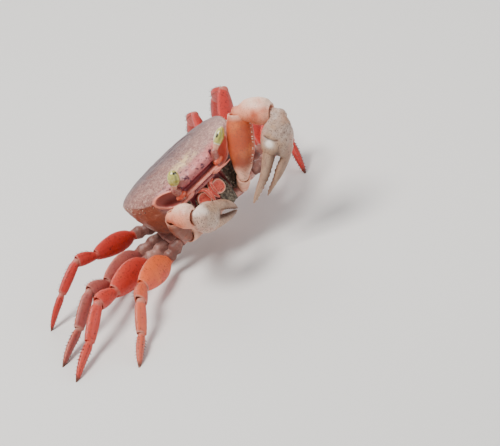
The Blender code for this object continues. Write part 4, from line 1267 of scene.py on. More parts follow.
# Walking legs
legForm = {
    "lengths": {
        2: (0.14, 0.43, 0.21, 0.25, 0.29),
        3: (0.19, 0.50, 0.23, 0.29, 0.33),
        4: (0.19, 0.49, 0.22, 0.28, 0.32),
        5: (0.17, 0.41, 0.18, 0.25, 0.28),
    },
    "poses": {
        ("left", 2): ((5, 12), (54, 10), (66, -28), (-12, -81), -102),
        ("left", 3): ((38, -3), (69, 6), (85, -25), (85, -45), 85),
        ("left", 4): ((80, 12), (62, 26), (95, -35), (95, -60), 95),
        ("left", 5): ((98, 6), (77, 16), (92, -40), (92, -62), 92),
        ("right", 2): ((-177, -32), (-139, 10), (-118, 2), (-125, -30), -125),
        ("right", 3): ((178, -15), (-141, 10), (-141, 16), (-141, -30), -141),
        ("right", 4): ((170, -17), (-141, 10), (-146, 20), (-146, -30), -146),
        ("right", 5): ((164, -2), (-156, 13), (-160, 20), (-160, -32), -160),
    },
    "bulk": {2: 1.04, 3: 1.04, 4: 0.98, 5: 0.80},
    "jointStep": 0.014,
    "hipStep": 0.022,
    "tipSink": 0.004,
    "hip": (
        (0.0, 0.042, 0.042, 0.038),
        (0.28, 0.055, 0.052, 0.044),
        (0.46, 0.043, 0.042, 0.036),
        (0.54, 0.040, 0.039, 0.034),
        (0.74, 0.053, 0.050, 0.040),
        (0.97, 0.042, 0.042, 0.032),
    ),
    "thigh": (
        (0.06, 0.050, 0.047, 0.034),
        (0.15, 0.076, 0.069, 0.040),
        (0.28, 0.097, 0.085, 0.045),
        (0.46, 0.107, 0.091, 0.048),
        (0.66, 0.101, 0.084, 0.046),
        (0.87, 0.082, 0.066, 0.040),
        (1.0, 0.059, 0.048, 0.033),
    ),
    "knee": (
        (0.0, 0.0, 0.038, 0.036, 0.030),
        (0.14, 0.0, 0.050, 0.042, 0.034),
        (0.55, 0.0, 0.070, 0.052, 0.040),
        (0.85, 0.0, 0.070, 0.054, 0.040),
        (1.0, 0.0, 0.060, 0.050, 0.036),
    ),
    "shin": (
        (0.0, 0.0, 0.036, 0.034, 0.029),
        (0.14, 0.0, 0.050, 0.040, 0.033),
        (0.50, 0.0, 0.055, 0.045, 0.034),
        (0.85, 0.0, 0.050, 0.044, 0.032),
        (1.0, 0.0, 0.044, 0.040, 0.029),
    ),
    "foot": (
        (0.0, 0.0, 0.030, 0.030, 0.025),
        (0.12, 0.003, 0.039, 0.036, 0.029),
        (0.40, 0.012, 0.037, 0.035, 0.028),
        (0.70, 0.012, 0.028, 0.027, 0.022),
        (0.90, 0.005, 0.017, 0.016, 0.014),
        (1.0, 0.0, 0.009, 0.009, 0.008),
    ),
    # a piece's rounded near end, and the steps forward and shares of size of the cup at its far end
    "nearAngles": (78, 65, 50, 35, 18),
    "cup": ((0.004, 0.97), (0.006, 0.90), (0.002, 0.80), (-0.012, 0.74), (-0.035, 0.70)),
    # how mauve and how red each leg is, from the photo
    "tints": {
        ("left", 2): (0.1, 0.8),
        ("left", 3): (0.1, 0.8),
        ("left", 4): (0.0, 0.8),
        ("left", 5): (0.0, 0.8),
        ("right", 2): (0.0, 0.12),
        ("right", 3): (0.04, 0.68),
        ("right", 4): (0.80, 0.4),
        ("right", 5): (0.0, 0.72),
    },
}
chance = random.Random(11)


def scaledKeys(keys, length, bulk):
    return [(row[0] * length, row[1] * bulk, *(value * bulk for value in row[2:])) for row in keys]


def nearEnd(knuckle):
    rows = []
    for angle in legForm["nearAngles"]:
        reach = knuckle * math.cos(math.radians(angle))
        rows.append((-knuckle * math.sin(math.radians(angle)), 0, reach, reach, reach))
    return rows


def limbRows(keys, count, knuckle):
    # a rounded near end, the piece, then a lip that turns in to a cup
    rows = nearEnd(knuckle)
    rows += [tuple(row) for row in blended(keys, count)]
    end = rows[-1]
    x, bend, sizes = end[0], end[1], np.array(end[2:])
    for forward, share in legForm["cup"]:
        rows.append((x + forward, bend, *(sizes * share)))
    return np.array(rows)


def limbMesh(name, rows, sideCount, crest, box, roughness, seed):
    centres = np.stack([rows[:, 0], rows[:, 0] * 0, rows[:, 1]], axis=-1) * width
    turn = ringAngles(sideCount)
    wide, high = np.cos(turn), np.sin(turn)
    wideBox = boxed(wide, box) * (1 - crest * np.clip(high, 0, 1) ** 2)
    reach = np.where(high[None, :] > 0, rows[:, 2:3], rows[:, 3:4]) * width
    x = centres[:, 0:1] + 0 * reach
    y = rows[:, 4:5] * width * wideBox[None, :]
    z = centres[:, 2:3] + reach * high[None, :]
    points = np.stack([x, y, z], axis=-1)
    if roughness:
        flat = points.reshape(-1, 3) / width
        bumps = grain(flat, 26, seed) * 0.7 + grain(flat, 80, seed + 3) * 0.3
        swell = 1 + roughness * bumps.reshape(len(rows), sideCount)
        points[..., 1] *= swell
        points[..., 2] = centres[:, 2:3] + (points[..., 2] - centres[:, 2:3]) * swell
    total = rows[-6, 0]
    along = np.clip(rows[:, 0:1] / total, 0, 1) + 0 * reach
    attributes = {
        "along": along,
        "high": np.ones((len(rows), 1)) * high[None, :],
        "wide": np.ones((len(rows), 1)) * wide[None, :],
        "joint": np.clip(smooth(along, 0.10, 0.0) + smooth(along, 0.94, 1.0), 0, 1),
    }
    return ringMesh(name, points, attributes)


def tintLeg(mesh, mauve, red, rose=0.0):
    # the reddest legs have no rose
    setMask(mesh, "mauve", mauve)
    setMask(mesh, "red", red)
    setMask(mesh, "rose", rose * (1 - mauve) if red < 0.65 else 0.0)


def makeThigh(name, node, joint, pose, lengths, bulk, tint, seed):
    hipWay, thighWay = pointing(*pose[0]), pointing(*pose[1])
    hipEnd = joint + hipWay * lengths[0] * width
    knee = hipEnd + thighWay * lengths[1] * width
    placement = frameAt(joint, thighWay, bodyUp)
    inward = placement.inverted()
    keys = []
    for angle in (78, 60, 35, 15):
        reach = 0.042 * math.cos(math.radians(angle))
        centre = joint - hipWay * 0.042 * math.sin(math.radians(angle)) * width
        keys.append((centre, (reach, reach, reach)))
    for share, *section in legForm["hip"]:
        keys.append((joint.lerp(hipEnd, share), section))
    for share, *section in legForm["thigh"]:
        keys.append((hipEnd.lerp(knee, share), [value * bulk for value in section]))
    distance, rows = 0.0, []
    for index, (centre, section) in enumerate(keys):
        if index:
            distance += (centre - keys[index - 1][0]).length / width
        local = inward @ centre
        rows.append((distance, *(local / width), *section))
    fine = blended(rows, 90)
    end = fine[-1]
    way = np.array([1.0, 0, 0])
    cup = []
    for forward, share in legForm["cup"]:
        cup.append((end[0] + 0.001, *(end[1:4] + way * forward), *(end[4:] * share)))
    whole = np.vstack([fine, cup])
    sizes = fine[:, 4:] * width
    rings, attributes = sweep(fine[:, 1:4] * width, (0, 0, 1), sizes, 44, crest=0.35, box=0.92)
    last = rings[-1] - fine[-1, 1:4] * width
    for row in cup:
        rings = np.concatenate([rings, [np.array(row[1:4]) * width + last * (row[4] / end[4])]])
    for key, value in attributes.items():
        attributes[key] = np.vstack([value] + [value[-1:]] * len(cup))
    along = attributes["along"]
    flat = rings.reshape(-1, 3) / width
    bumps = (grain(flat, 26, seed) * 0.7 + grain(flat, 80, seed + 3) * 0.3).reshape(along.shape)
    centres = np.vstack([fine[:, 1:4], np.array(cup)[:, 1:4]])[:, None, :] * width
    share = whole[:, 0] / end[0]
    hipShare = rows[len(legForm["hip"]) + 3][0] / end[0]
    rough = 0.022 + 0.050 * smooth(share, hipShare + 0.04, hipShare - 0.03)
    rings = centres + (rings - centres) * (1 + rough[:, None, None] * bumps[..., None])
    joints = np.clip(bell(share, hipShare, 0.03) * 0.6 + smooth(share, 0.965, 1.0), 0, 1)
    attributes["joint"] = joints[:, None] * np.ones((1, along.shape[1]))
    wavy = share[:, None] + 0.03 * bumps - 0.02 * attributes["high"]
    attributes["hip"] = smooth(wavy, hipShare + 0.05, hipShare - 0.04)
    mesh = ringMesh(name, rings, attributes)
    tintLeg(mesh, *tint)
    place(name, moved(mesh, placement), legSkin, [node])
    return knee


def makeLimb(name, node, joint, way, keys, length, bulk, tint, seed):
    direction = pointing(*way)
    placement = frameAt(joint, direction, bodyUp)
    rows = limbRows(scaledKeys(keys, length, bulk), 46, keys[0][2] * bulk)
    mesh = limbMesh(name, rows, 36, 0.25, 0.92, 0.03, seed)
    tintLeg(mesh, *tint, 0.45)
    place(name, moved(mesh, placement), legSkin, [node])
    bristleLimb(blended(scaledKeys(keys, length, bulk), 46), placement, seed)
    return joint + direction * length * width


def bristleLimb(rows, placement, seed):
    # sparse dark bristles in rows along a limb, which lean towards its far end
    turn = placement.to_3x3()
    spread = random.Random(int(seed * 10) + 500)
    tile = int(abs(seed) * 3) % hairForm["tiles"]
    for line, (wide, high) in enumerate(hairForm["legRows"]):
        for step in range(hairForm["legCount"]):
            where = 0.10 + 0.84 * (step + spread.uniform(0, 0.9)) / hairForm["legCount"]
            x = where * rows[-1, 0]
            row = [np.interp(x, rows[:, 0], rows[:, column]) for column in range(5)]
            root = Vector((x, row[4] * wide * 0.9, row[1] + row[2] * high * 0.93)) * width
            ahead, higher = 0.9 + spread.uniform(-0.2, 0.3), high + spread.uniform(-0.2, 0.2)
            way = Vector((ahead, wide, higher)).normalized()
            patch = ((tile + where) / hairForm["tiles"], (line + 0.5) / len(hairForm["legRows"]))
            length = spread.uniform(*hairForm["legLength"]) * width
            addGrowth("legBristles", placement @ root, turn @ way, length, patch)


def footSpines(rows, placement, bulk):
    # six rows of dark horny spines, which point towards the tip
    turn = placement.to_3x3()
    for number in range(6):
        angle = math.radians(30 + 60 * number)
        wide, high = math.cos(angle), math.sin(angle)
        for step in range(9):
            where = 0.10 + 0.80 * (step + 0.5 * (number % 2)) / 9 * 1.02
            x = where * rows[-1, 0]
            row = np.array([np.interp(x, rows[:, 0], rows[:, column]) for column in range(5)])
            reach = row[2] if high > 0 else row[3]
            root = Vector((x, row[4] * wide * 0.92, row[1] + reach * high * 0.92)) * width
            wayOut = Vector((0.75, wide, high)).normalized()
            length = width * 0.020 * bulk * chance.uniform(0.75, 1.15) * (1 - 0.35 * where)
            addGrowth("footSpines", placement @ root, turn @ wayOut, length)


def makeFoot(name, node, joint, heading, length, bulk, tint, seed):
    rise = -math.degrees(math.asin((joint.z / width + legForm["tipSink"]) / length))
    direction = pointing(heading, rise)
    placement = frameAt(joint, direction, pointing(heading, rise + 90))
    keys = scaledKeys(legForm["foot"], length, bulk)
    fine = blended(keys, 60)
    rows = nearEnd(keys[0][2])
    rows += [tuple(row) for row in fine]
    end = rows[-1]
    rows.append((end[0] + 0.003, end[1], end[2] * 0.5, end[3] * 0.5, end[4] * 0.5))
    rows += [(end[0] + 0.0035, end[1], end[2] * 0.1, end[3] * 0.1, end[4] * 0.1)] * 5
    rows = np.array(rows)
    mesh = limbMesh(name, rows, 36, 0.1, 0.95, 0.02, seed)
    tintLeg(mesh, *tint, 0.65)
    setMask(mesh, "horn", 0.9 * smooth(localPoints(mesh)[:, 0] / length, 0.80, 0.96))
    mesh = moved(mesh, placement)
    for vertex in mesh.vertices:
        if vertex.co.z < 0.00002:
            vertex.co.z = 0.00002
    place(name, mesh, legSkin, [node])
    footSpines(fine, placement, bulk)


def makeLeg(sideName, number):
    sign = sides[sideName]
    side, forward, up = legRoots[number]
    pose = legForm["poses"][sideName, number]
    lengths = legForm["lengths"][number]
    bulk = legForm["bulk"][number]
    tint = legForm["tints"][sideName, number]
    step = legForm["jointStep"] * width
    stem = f"{sideName}_leg_{number}_"
    label = f"{sideName}Leg{number}"
    seed = number * 7.3 + sign
    root = bodyPoint(sign * side, forward, up)
    outwards = (root - bodyPoint(sign * side * 0.5, forward * 0.7, up)).normalized()
    joint = root + outwards * legForm["hipStep"] * width
    joint = makeThigh(label + "Thigh", stem + "merus", joint, pose, lengths, bulk, tint, seed)
    joint = joint + pointing(*pose[1]) * step
    pieces = (("Knee", "carpus", "knee"), ("Shin", "propodus", "shin"))
    for index, (part, node, keys) in enumerate(pieces, 2):
        way, length = pose[index], lengths[index]
        name = label + part
        shape = legForm[keys]
        joint = makeLimb(name, stem + node, joint, way, shape, length, bulk, tint, seed + index - 1)
        joint = joint + pointing(*way) * step
    makeFoot(label + "Foot", stem + "dactyl", joint, pose[4], lengths[4], bulk, tint, seed + 3)


for sideName in sides:
    for number in (2, 3, 4, 5):
        makeLeg(sideName, number)
for name in ("marginBeads", "cheekFelt", "legBristles"):
    growSpines(name)
print("walking legs ready")

# Claw arms
armForm = {
    "left": {
        "hip": ((-92, 54), 0.150),
        "thigh": ((22, 72), 0.475),
        "thighEdge": Vector((0.848, -0.438, -0.296)),
        "knee": ((-46, -8), 0.260),
        "kneeEdge": Vector((0.464, 0.349, 0.814)),
        "wrist": 0.110,
        "palm": Vector((-0.580, -0.028, -0.814)),
        "palmEdge": Vector((-0.711, 0.509, 0.482)),
        "reach": 1.0,
        "bulk": 1.0,
    },
    "right": {
        "hip": ((-143, 19), 0.140),
        "thigh": ((-125, 56), 0.350),
        "thighEdge": Vector((0, 0, 1)),
        "knee": ((-52, -1), 0.180),
        "kneeEdge": Vector((0.464, 0.349, 0.814)),
        "wrist": 0.025,
        "palm": Vector((0.756, 0.450, -0.475)),
        "palmEdge": Vector((0.324, 0.255, 0.911)),
        "reach": 0.69,
        "bulk": 0.90,
    },
    "step": 0.018,
    "bigTeeth": (1, 2, 3),
    "toothSizes": (0.00062, 0.00042),
    "voxels": {"left": 0.00024, "right": 0.00020},
    "fingerVoxel": 0.00018,
    "neck": 0.056,
    "neckSwell": ((0, 0.3, 0.7, 1), (0.80, 1.0, 1.08, 1.0)),
    "palmEnd": (
        (0.004, 0.96),
        (0.007, 0.85),
        (0.008, 0.6),
        (0.008, 0.3),
        (0.008, 0.1),
        (0.008, 0.02),
    ),
    "hipKeys": (
        (0.0, 0.0, 0.040, 0.040, 0.038),
        (0.5, 0.0, 0.056, 0.052, 0.050),
        (1.0, 0.0, 0.056, 0.054, 0.050),
    ),
    "thighKeys": (
        (0.0, 0.0, 0.042, 0.042, 0.040),
        (0.14, 0.0, 0.070, 0.066, 0.052),
        (0.45, 0.0, 0.104, 0.092, 0.068),
        (0.80, 0.0, 0.104, 0.094, 0.070),
        (1.0, 0.0, 0.080, 0.076, 0.060),
    ),
    "kneeKeys": (
        (0.0, 0.0, 0.046, 0.044, 0.044),
        (0.22, 0.0, 0.092, 0.066, 0.072),
        (0.60, 0.0, 0.114, 0.090, 0.092),
        (0.88, 0.0, 0.104, 0.088, 0.088),
        (1.0, 0.0, 0.078, 0.070, 0.070),
    ),
    "palmKeys": {
        "left": (
            (0.0, 0.032, 0.048, 0.034, 0.046),
            (0.05, 0.016, 0.090, 0.066, 0.068),
            (0.13, 0.0, 0.128, 0.098, 0.086),
            (0.21, 0.0, 0.130, 0.112, 0.090),
            (0.28, 0.0, 0.112, 0.117, 0.082),
            (0.305, 0.0, 0.098, 0.113, 0.070),
        ),
        "right": (
            (0.0, -0.010, 0.060, 0.068, 0.056),
            (0.05, -0.010, 0.084, 0.104, 0.070),
            (0.13, -0.008, 0.110, 0.130, 0.086),
            (0.21, -0.004, 0.116, 0.136, 0.088),
            (0.28, 0.0, 0.108, 0.134, 0.082),
            (0.305, 0.0, 0.098, 0.126, 0.070),
        ),
    },
    "fixedKeys": {
        "left": (
            (0.22, -0.068, 0.040, 0.050, 0.056),
            (0.30, -0.080, 0.036, 0.038, 0.052),
            (0.36, -0.076, 0.034, 0.034, 0.047),
            (0.44, -0.064, 0.032, 0.031, 0.039),
            (0.53, -0.045, 0.020, 0.020, 0.026),
            (0.60, -0.031, 0.010, 0.011, 0.013),
            (0.625, -0.027, 0.006, 0.006, 0.007),
        ),
        "right": (
            (0.22, -0.062, 0.050, 0.060, 0.056),
            (0.34, -0.064, 0.044, 0.056, 0.052),
            (0.46, -0.054, 0.034, 0.046, 0.044),
            (0.58, -0.036, 0.025, 0.036, 0.034),
            (0.68, -0.016, 0.014, 0.020, 0.021),
            (0.725, -0.006, 0.007, 0.009, 0.009),
        ),
    },
    "movingKeys": {
        "left": (
            (0.300, 0.040, 0.050, 0.050, 0.048),
            (0.36, 0.033, 0.050, 0.045, 0.048),
            (0.46, 0.032, 0.036, 0.034, 0.040),
            (0.58, 0.043, 0.027, 0.025, 0.029),
            (0.66, 0.053, 0.018, 0.016, 0.019),
            (0.705, 0.059, 0.007, 0.007, 0.008),
        ),
        "right": (
            (0.300, 0.046, 0.048, 0.036, 0.046),
            (0.36, 0.056, 0.052, 0.036, 0.050),
            (0.46, 0.060, 0.046, 0.035, 0.044),
            (0.58, 0.052, 0.037, 0.031, 0.034),
            (0.69, 0.030, 0.022, 0.018, 0.021),
            (0.735, 0.014, 0.009, 0.008, 0.009),
        ),
    },
    "teeth": (0.28, 0.36, 0.44, 0.52, 0.60, 0.68, 0.76, 0.84, 0.91),
}
armMasks = ("dusk", "peach", "cream", "tan", "tint", "grey", "crease", "speck", "pearl")


def fused(name, meshes, voxel, smoothing):
    # several closed forms melted into one, then smoothed
    shape = bmesh.new()
    for mesh in meshes:
        shape.from_mesh(mesh)
        bpy.data.meshes.remove(mesh)
    bmesh.ops.recalc_face_normals(shape, faces=shape.faces)
    whole = bpy.data.meshes.new(name)
    shape.to_mesh(whole)
    shape.free()
    helper = bpy.data.objects.new(name, whole)
    bpy.context.scene.collection.objects.link(helper)
    remesh = helper.modifiers.new("melt", "REMESH")
    remesh.mode = "VOXEL"
    remesh.voxel_size = voxel
    relax = helper.modifiers.new("relax", "SMOOTH")
    relax.factor = 0.5
    relax.iterations = smoothing
    result = evaluated(helper)
    bpy.data.objects.remove(helper)
    result.name = name
    return result


def cleared(mesh):
    for key in ("along", "high", "wide", "joint"):
        if key in mesh.attributes:
            mesh.attributes.remove(mesh.attributes[key])
    return mesh


def fingerMesh(name, keys, reach, bulk):
    fine = blended(scaledKeys(keys, reach, bulk), 60)
    end = fine[-1].copy()
    tip = end.copy()
    tip[0] += 0.004
    tip[2:] *= 0.3
    whole = np.vstack([fine, [tip] * 6])
    whole[-5:, 0] += 0.0005
    whole[-5:, 2:] *= 0.3
    return limbMesh(name, whole, 36, 0.0, 0.95, 0.015, 3.0), fine


def toothMeshes(fine, bulk, upper):
    teeth = []
    for number, share in enumerate(armForm["teeth"]):
        where = fine[0, 0] + share * (fine[-1, 0] - fine[0, 0])
        row = [np.interp(where, fine[:, 0], fine[:, column]) for column in range(5)]
        edge = row[1] - row[3] if upper else row[1] + row[2]
        down = -1 if upper else 1
        size = armForm["toothSizes"][0 if number in armForm["bigTeeth"] else 1]
        size = size * bulk * chance.uniform(0.9, 1.15)
        shape = bmesh.new()
        bmesh.ops.create_uvsphere(shape, u_segments=12, v_segments=8, radius=1)
        spot = Vector((where * width, 0, edge * width - down * size * 0.45))
        stretch = Matrix.Diagonal((size * 1.5, size * 1.0, size * 1.15, 1))
        bmesh.ops.transform(shape, matrix=Matrix.Translation(spot) @ stretch, verts=shape.verts)
        mesh = bpy.data.meshes.new("tooth")
        shape.to_mesh(mesh)
        shape.free()
        teeth.append(mesh)
    return teeth


def beadRow(rows, placement, spreads, count, size):
    turn = placement.to_3x3()
    for middle in spreads:
        for number in range(count):
            where = 0.12 + 0.80 * (number + chance.uniform(-0.35, 0.35)) / (count - 1)
            spread = middle + chance.uniform(-0.12, 0.12)
            x = where * rows[-1, 0]
            row = [np.interp(x, rows[:, 0], rows[:, column]) for column in range(5)]
            way = Vector((0, spread, 0.75)).normalized()
            root = Vector((x, row[4] * spread * 0.86, row[1] + row[2] * 0.84)) * width
            addGrowth("armBeads", placement @ root, turn @ way, size * chance.uniform(0.6, 1.2))


def paint(mesh, **masks):
    for key in armMasks:
        setMask(mesh, key, masks.get(key, 0.0))


def makeArm(sideName):
    pose, sign = armForm[sideName], sides[sideName]
    big = sideName == "left"
    bulk, reach = pose["bulk"], pose["reach"]
    stem = sideName + "_claw_"
    step = armForm["step"] * width * bulk
    side, forward, up = legRoots[1]
    root = bodyPoint(sign * side, forward, up)
    outwards = (root - bodyPoint(sign * side * 0.5, forward * 0.7, up)).normalized()
    joint = root + outwards * legForm["hipStep"] * width

    way, length = pose["hip"]
    rows = limbRows(scaledKeys(armForm["hipKeys"], length, 1.0), 40, armForm["hipKeys"][0][2])
    mesh = limbMesh(sideName + "ArmHip", rows, 44, 0.1, 0.95, 0.02, 1.0)
    # painted shade: the small arm's hip is darkened
    paint(mesh, peach=0.9, cream=0.5, dusk=0.0 if big else 0.8)
    placement = frameAt(joint, pointing(*way), pointing(way[0], way[1] + 90))
    place(sideName + "ArmHip", moved(mesh, placement), armSkin, [stem + "ischium"])
    joint = joint + pointing(*way) * (length * width + step)

    way, length = pose["thigh"]
    keys = scaledKeys(armForm["thighKeys"], length, bulk)
    rows = limbRows(keys, 60, keys[0][2])
    mesh = limbMesh(sideName + "ArmThigh", rows, 56, 0.25, 0.88, 0.03, 2.0)
    local = localPoints(mesh)
    ends = smooth(local[:, 0] / length, 0.90, 1.0)
    foot = smooth(local[:, 0] / length, 0.24, 0.06) if big else 0
    # painted shade: the big thigh darker towards its near end, the small thigh darkened all over
    dim = smooth(local[:, 0] / length, 0.50, 0.20) * 0.45
    cream = ends * 0.4 * big + foot * 0.5
    paint(mesh, dusk=dim if big else 0.9, peach=ends * 0.6 + foot, cream=cream, speck=0.35)
    placement = frameAt(joint, pointing(*way), pose["thighEdge"])
    place(sideName + "ArmThigh", moved(mesh, placement), armSkin, [stem + "merus"])
    beadRow(blended(keys, 60), placement, (0.75, 0.2, -0.3, -0.8), 14, 0.00060 * bulk)
    joint = joint + pointing(*way) * (length * width + step)

    way, length = pose["knee"]
    keys = scaledKeys(armForm["kneeKeys"], length, bulk)
    rows = limbRows(keys, 60, keys[0][2])
    mesh = limbMesh(sideName + "ArmKnee", rows, 60, 0.0, 0.95, 0.03, 4.0)
    local = localPoints(mesh)
    # the wrist is paler cream on top and less peach underneath: partly its own pale top, partly a
    # painted highlight above and painted shade below
    lower = smooth(local[:, 2], 0.01, -0.06)
    cream = smooth(local[:, 2], 0.0, 0.07) * 0.8 * smooth(local[:, 0] / length, -0.1, 0.5)
    grey = smooth(local[:, 0] / length, 0.7, 1.0) * 0.3
    paint(mesh, peach=1.0 - lower * 0.5, cream=cream, speck=0.35, grey=grey)
    placement = frameAt(joint, pointing(*way), pose["kneeEdge"])
    place(sideName + "ArmKnee", moved(mesh, placement), armSkin, [stem + "carpus"])
    beadRow(blended(keys, 60), placement, (0.5, 0.0), 7, 0.0006 * bulk)
    cap = joint + pointing(*way) * length * width
    wrist = cap + pointing(*way) * pose["wrist"] * width

    placement = frameAt(wrist, pose["palm"], pose["palmEdge"])
    inward = placement.inverted()
    palmKeys = scaledKeys(armForm["palmKeys"][sideName], reach, bulk)
    fine = blended(palmKeys, 50)
    knuckle = palmKeys[0][2]
    palmRows = []
    for angle in (78, 60, 40, 20):
        size = knuckle * math.cos(math.radians(angle))
        flat = 0.55 if big else 0.3
        back = -flat * knuckle * math.sin(math.radians(angle))
        palmRows.append((back, palmKeys[0][1], size, size * 0.8, size))
    palmRows += [tuple(row) for row in fine]
    end = np.array(palmRows[-1])
    for forwards, share in armForm["palmEnd"]:
        palmRows.append((end[0] + forwards, end[1], *(end[2:] * share)))
    palm = limbMesh("palm", np.array(palmRows), 60, 0.1, 0.95, 0.0, 5.0)
    fixed, fixedFine = fingerMesh("fixed", armForm["fixedKeys"][sideName], reach, bulk)
    near = inward @ (cap - pointing(*way) * 0.010 * width)
    far = inward @ (wrist + pose["palm"].normalized() * 0.05 * reach * width)
    neckSize = armForm["neck"] * bulk * width
    choices = (Vector((0, 1, 0)), Vector((0, 0, 1)))
    upright = max(choices, key=lambda choice: choice.cross(far - near).length)
    shares = np.linspace(0, 1, 12)
    sizes = np.interp(shares, *armForm["neckSwell"])[:, None] * np.ones((1, 3)) * neckSize
    centres = [near.lerp(far, share) for share in shares]
    rings, attributes = sweep(centres, tuple(upright), sizes, 28)
    along = (far - near).normalized() * neckSize
    neckEnds = np.array(near - along * 0.35), np.array(far + along * 0.2)
    neck = ringMesh("neck", rings, attributes, *neckEnds)
    teeth = toothMeshes(fixedFine, bulk, False)
    forms = [cleared(form) for form in (palm, fixed, neck)] + teeth
    mesh = fused(sideName + "Palm", forms, armForm["voxels"][sideName], 5)
    roughenClaw(mesh, reach, bulk, 6.0, big)
    place(sideName + "Palm", moved(mesh, placement), armSkin, [stem + "palm"])
    finger, fingerFine = fingerMesh("finger", armForm["movingKeys"][sideName], reach, bulk)
    teeth = toothMeshes(fingerFine, bulk, True)
    mesh = fused(sideName + "Finger", [cleared(finger)] + teeth, armForm["fingerVoxel"], 4)
    roughenClaw(mesh, reach, bulk, 8.0, big)
    place(sideName + "Finger", moved(mesh, placement), armSkin, [stem + "finger"])


def roughenClaw(mesh, reach, bulk, seed, big):
    points = localPoints(mesh)
    normals = np.zeros(len(mesh.vertices) * 3, np.float32)
    mesh.vertices.foreach_get("normal", normals)
    normals = normals.reshape(-1, 3)
    along, edge = points[:, 0] / reach, points[:, 2] / bulk
    fingers = smooth(along, 0.22, 0.34)
    # the mark where the moving finger hinges: a white boss under a dark arched line
    spot = bell(along, 0.236, 0.024) * bell(edge, 0.056, 0.028) * big
    arch = 0.204 - 4.0 * (edge - 0.056) ** 2
    line = bell(along, arch, 0.0095) * smooth(np.abs(edge - 0.056), 0.064, 0.048) * big
    # painted shade: the gutter along the fixed finger and the grip along the gape are darkened in the
    # crease mask, where shade falls in the groove and between the fingers
    gutter = bell(edge, -0.020, 0.018) * smooth(along, 0.20, 0.27) * smooth(along, 0.62, 0.45)
    grip = smooth(along, 0.24, 0.30) * smooth(np.abs(edge + 0.012), 0.050, 0.022)
    bumps = grain(points, 30, seed) * 0.0020 + np.maximum(grain(points, 90, seed + 2), 0) * 0.0022
    bumps = bumps * (1 - 0.5 * fingers) + 0.006 * spot - 0.007 * line - 0.004 * gutter * big
    raised = (points + normals * bumps[:, None]) * width
    mesh.vertices.foreach_set("co", raised.astype(np.float32).reshape(-1))
    streaks = np.maximum(grain(points * np.array([5.0, 26.0, 26.0]), 1.0, seed + 4), 0) * fingers
    # darker mottling by noise towards the upper side; on the small palm also dark flecks, its own
    # freckles
    shadeAndFlecks = np.maximum(grain(points, 16, seed + 5), 0) * smooth(edge, -0.01, 0.09)
    shadeAndFlecks = shadeAndFlecks * (0.5 if big else 1.1)
    if big:
        # painted shade: the big palm's lower side near the fixed finger is darker, where its surface
        # turns away from the light
        shadeAndFlecks = shadeAndFlecks + smooth(edge, -0.03, -0.09) * smooth(along, 0.12, 0.26) * 0.7
        pale = np.clip(spot * 1.5, 0, 1) * 0.95
    else:
        flecks = smooth(grain(points, 70, seed + 9), 0.15, 0.65)
        shadeAndFlecks = shadeAndFlecks + flecks * smooth(along, 0.06, 0.16) * 0.8
        pale = smooth(along, 0.13, 0.04) * smooth(edge, -0.01, 0.05) * 0.6
    root = smooth(along, 0.10, 0.0) * (0.35 if big else 1.0)
    flanks = np.clip(smooth(np.abs(edge - 0.01), 0.070, 0.115), 0, 1) * (1 - fingers)
    # the crease mask holds the claw's own dark marks and the painted shade above
    crease = line * 0.9 + gutter * 0.45 + grip * 0.45 + streaks * 0.55 + shadeAndFlecks * 0.55
    paint(
        mesh,
        peach=root,
        cream=root * 0.6,
        tan=1 - root * 0.6,
        grey=(1.0 - fingers * 0.8) * (1 - root * 0.5),
        tint=flanks * 0.75 + fingers * 0.15,
        speck=0.9 - fingers * 0.4,
        crease=np.clip(crease, 0, 0.9),
        pearl=pale,
    )


for sideName in sides:
    makeArm(sideName)
growSpines("footSpines")
growSpines("armBeads")
print("claw arms ready")


# Floor, light and camera: lengths in metres, the picture's shift right and down as well
studio = {
    "cameraAzimuth": -17,
    "cameraElevation": 30,
    "cameraRoll": 20,
    "distance": 1.4146,
    "right": 0.0304,
    "down": 0.02347,
    "lens": 250,
    "floorSize": 3.0,
    "floorColour": (0.80, 0.79, 0.77),
    "floorRoughness": 0.9,
    "worldColour": (0.93, 0.96, 1.0),
    "worldStrength": 0.38,
    "sensor": 36,
    "clip": (0.01, 20),
    # place from the body's middle, size, power and colour
    "lights": {
        "keyLight": ((-0.28, 0.0, 0.80), 0.40, 9.5, (1.0, 0.97, 0.93)),
        "fillLight": ((0.70, -0.55, 0.42), 0.7, 3.4, (0.97, 0.98, 1.0)),
        "backLight": ((0.25, 0.7, 0.5), 0.6, 3.0, (1.0, 0.98, 0.95)),
    },
}


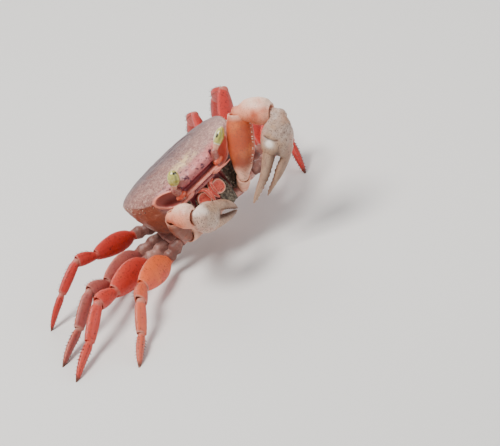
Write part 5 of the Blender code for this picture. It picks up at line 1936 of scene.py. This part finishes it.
def makeStudio():
    mesh = bpy.data.meshes.new("studioFloor")
    half = studio["floorSize"] / 2
    corners = [(-half, -half, 0), (half, -half, 0), (half, half, 0), (-half, half, 0)]
    mesh.from_pydata(corners, [], [(0, 1, 2, 3)])
    material, _, shader, _ = startMaterial("floorPaint")
    shader.inputs["Base Color"].default_value = (*studio["floorColour"], 1)
    shader.inputs["Roughness"].default_value = studio["floorRoughness"]
    mesh.materials.append(material)
    floor = bpy.data.objects.new("studioFloor", mesh)
    bpy.context.scene.collection.objects.link(floor)
    world = bpy.data.worlds.new("studioWorld")
    bpy.context.scene.world = world
    world.use_nodes = True
    sky = world.node_tree.nodes["Background"]
    sky.inputs["Color"].default_value = (*studio["worldColour"], 1)
    sky.inputs["Strength"].default_value = studio["worldStrength"]
    middle = body["middle"]
    for name, (spot, size, power, colour) in studio["lights"].items():
        data = bpy.data.lights.new(name, "AREA")
        data.shape = "DISK"
        data.size = size
        data.energy = power
        data.color = colour
        light = bpy.data.objects.new(name, data)
        light.location = Vector(spot) + Vector((middle.x, middle.y, 0))
        light.rotation_mode = "QUATERNION"
        light.rotation_quaternion = (light.location - middle).to_track_quat("Z", "Y")
        bpy.context.scene.collection.objects.link(light)


def makeCamera():
    azimuth = math.radians(studio["cameraAzimuth"])
    roll = math.radians(studio["cameraRoll"])
    level = Vector((math.cos(azimuth), math.sin(azimuth), 0))
    back = pointing(studio["cameraAzimuth"] - 90, studio["cameraElevation"])
    upright = back.cross(level)
    right = level * math.cos(roll) - upright * math.sin(roll)
    up = level * math.sin(roll) + upright * math.cos(roll)
    shift = right * studio["right"] - up * studio["down"]
    placement = Matrix((right, up, back)).transposed().to_4x4()
    placement.translation = body["middle"] + back * studio["distance"] + shift
    data = bpy.data.cameras.new("photoCamera")
    data.lens = studio["lens"]
    data.sensor_width = studio["sensor"]
    data.clip_start, data.clip_end = studio["clip"]
    camera = bpy.data.objects.new("photoCamera", data)
    camera.matrix_world = placement
    bpy.context.scene.collection.objects.link(camera)
    bpy.context.scene.camera = camera


makeStudio()
makeCamera()
print("studio ready")
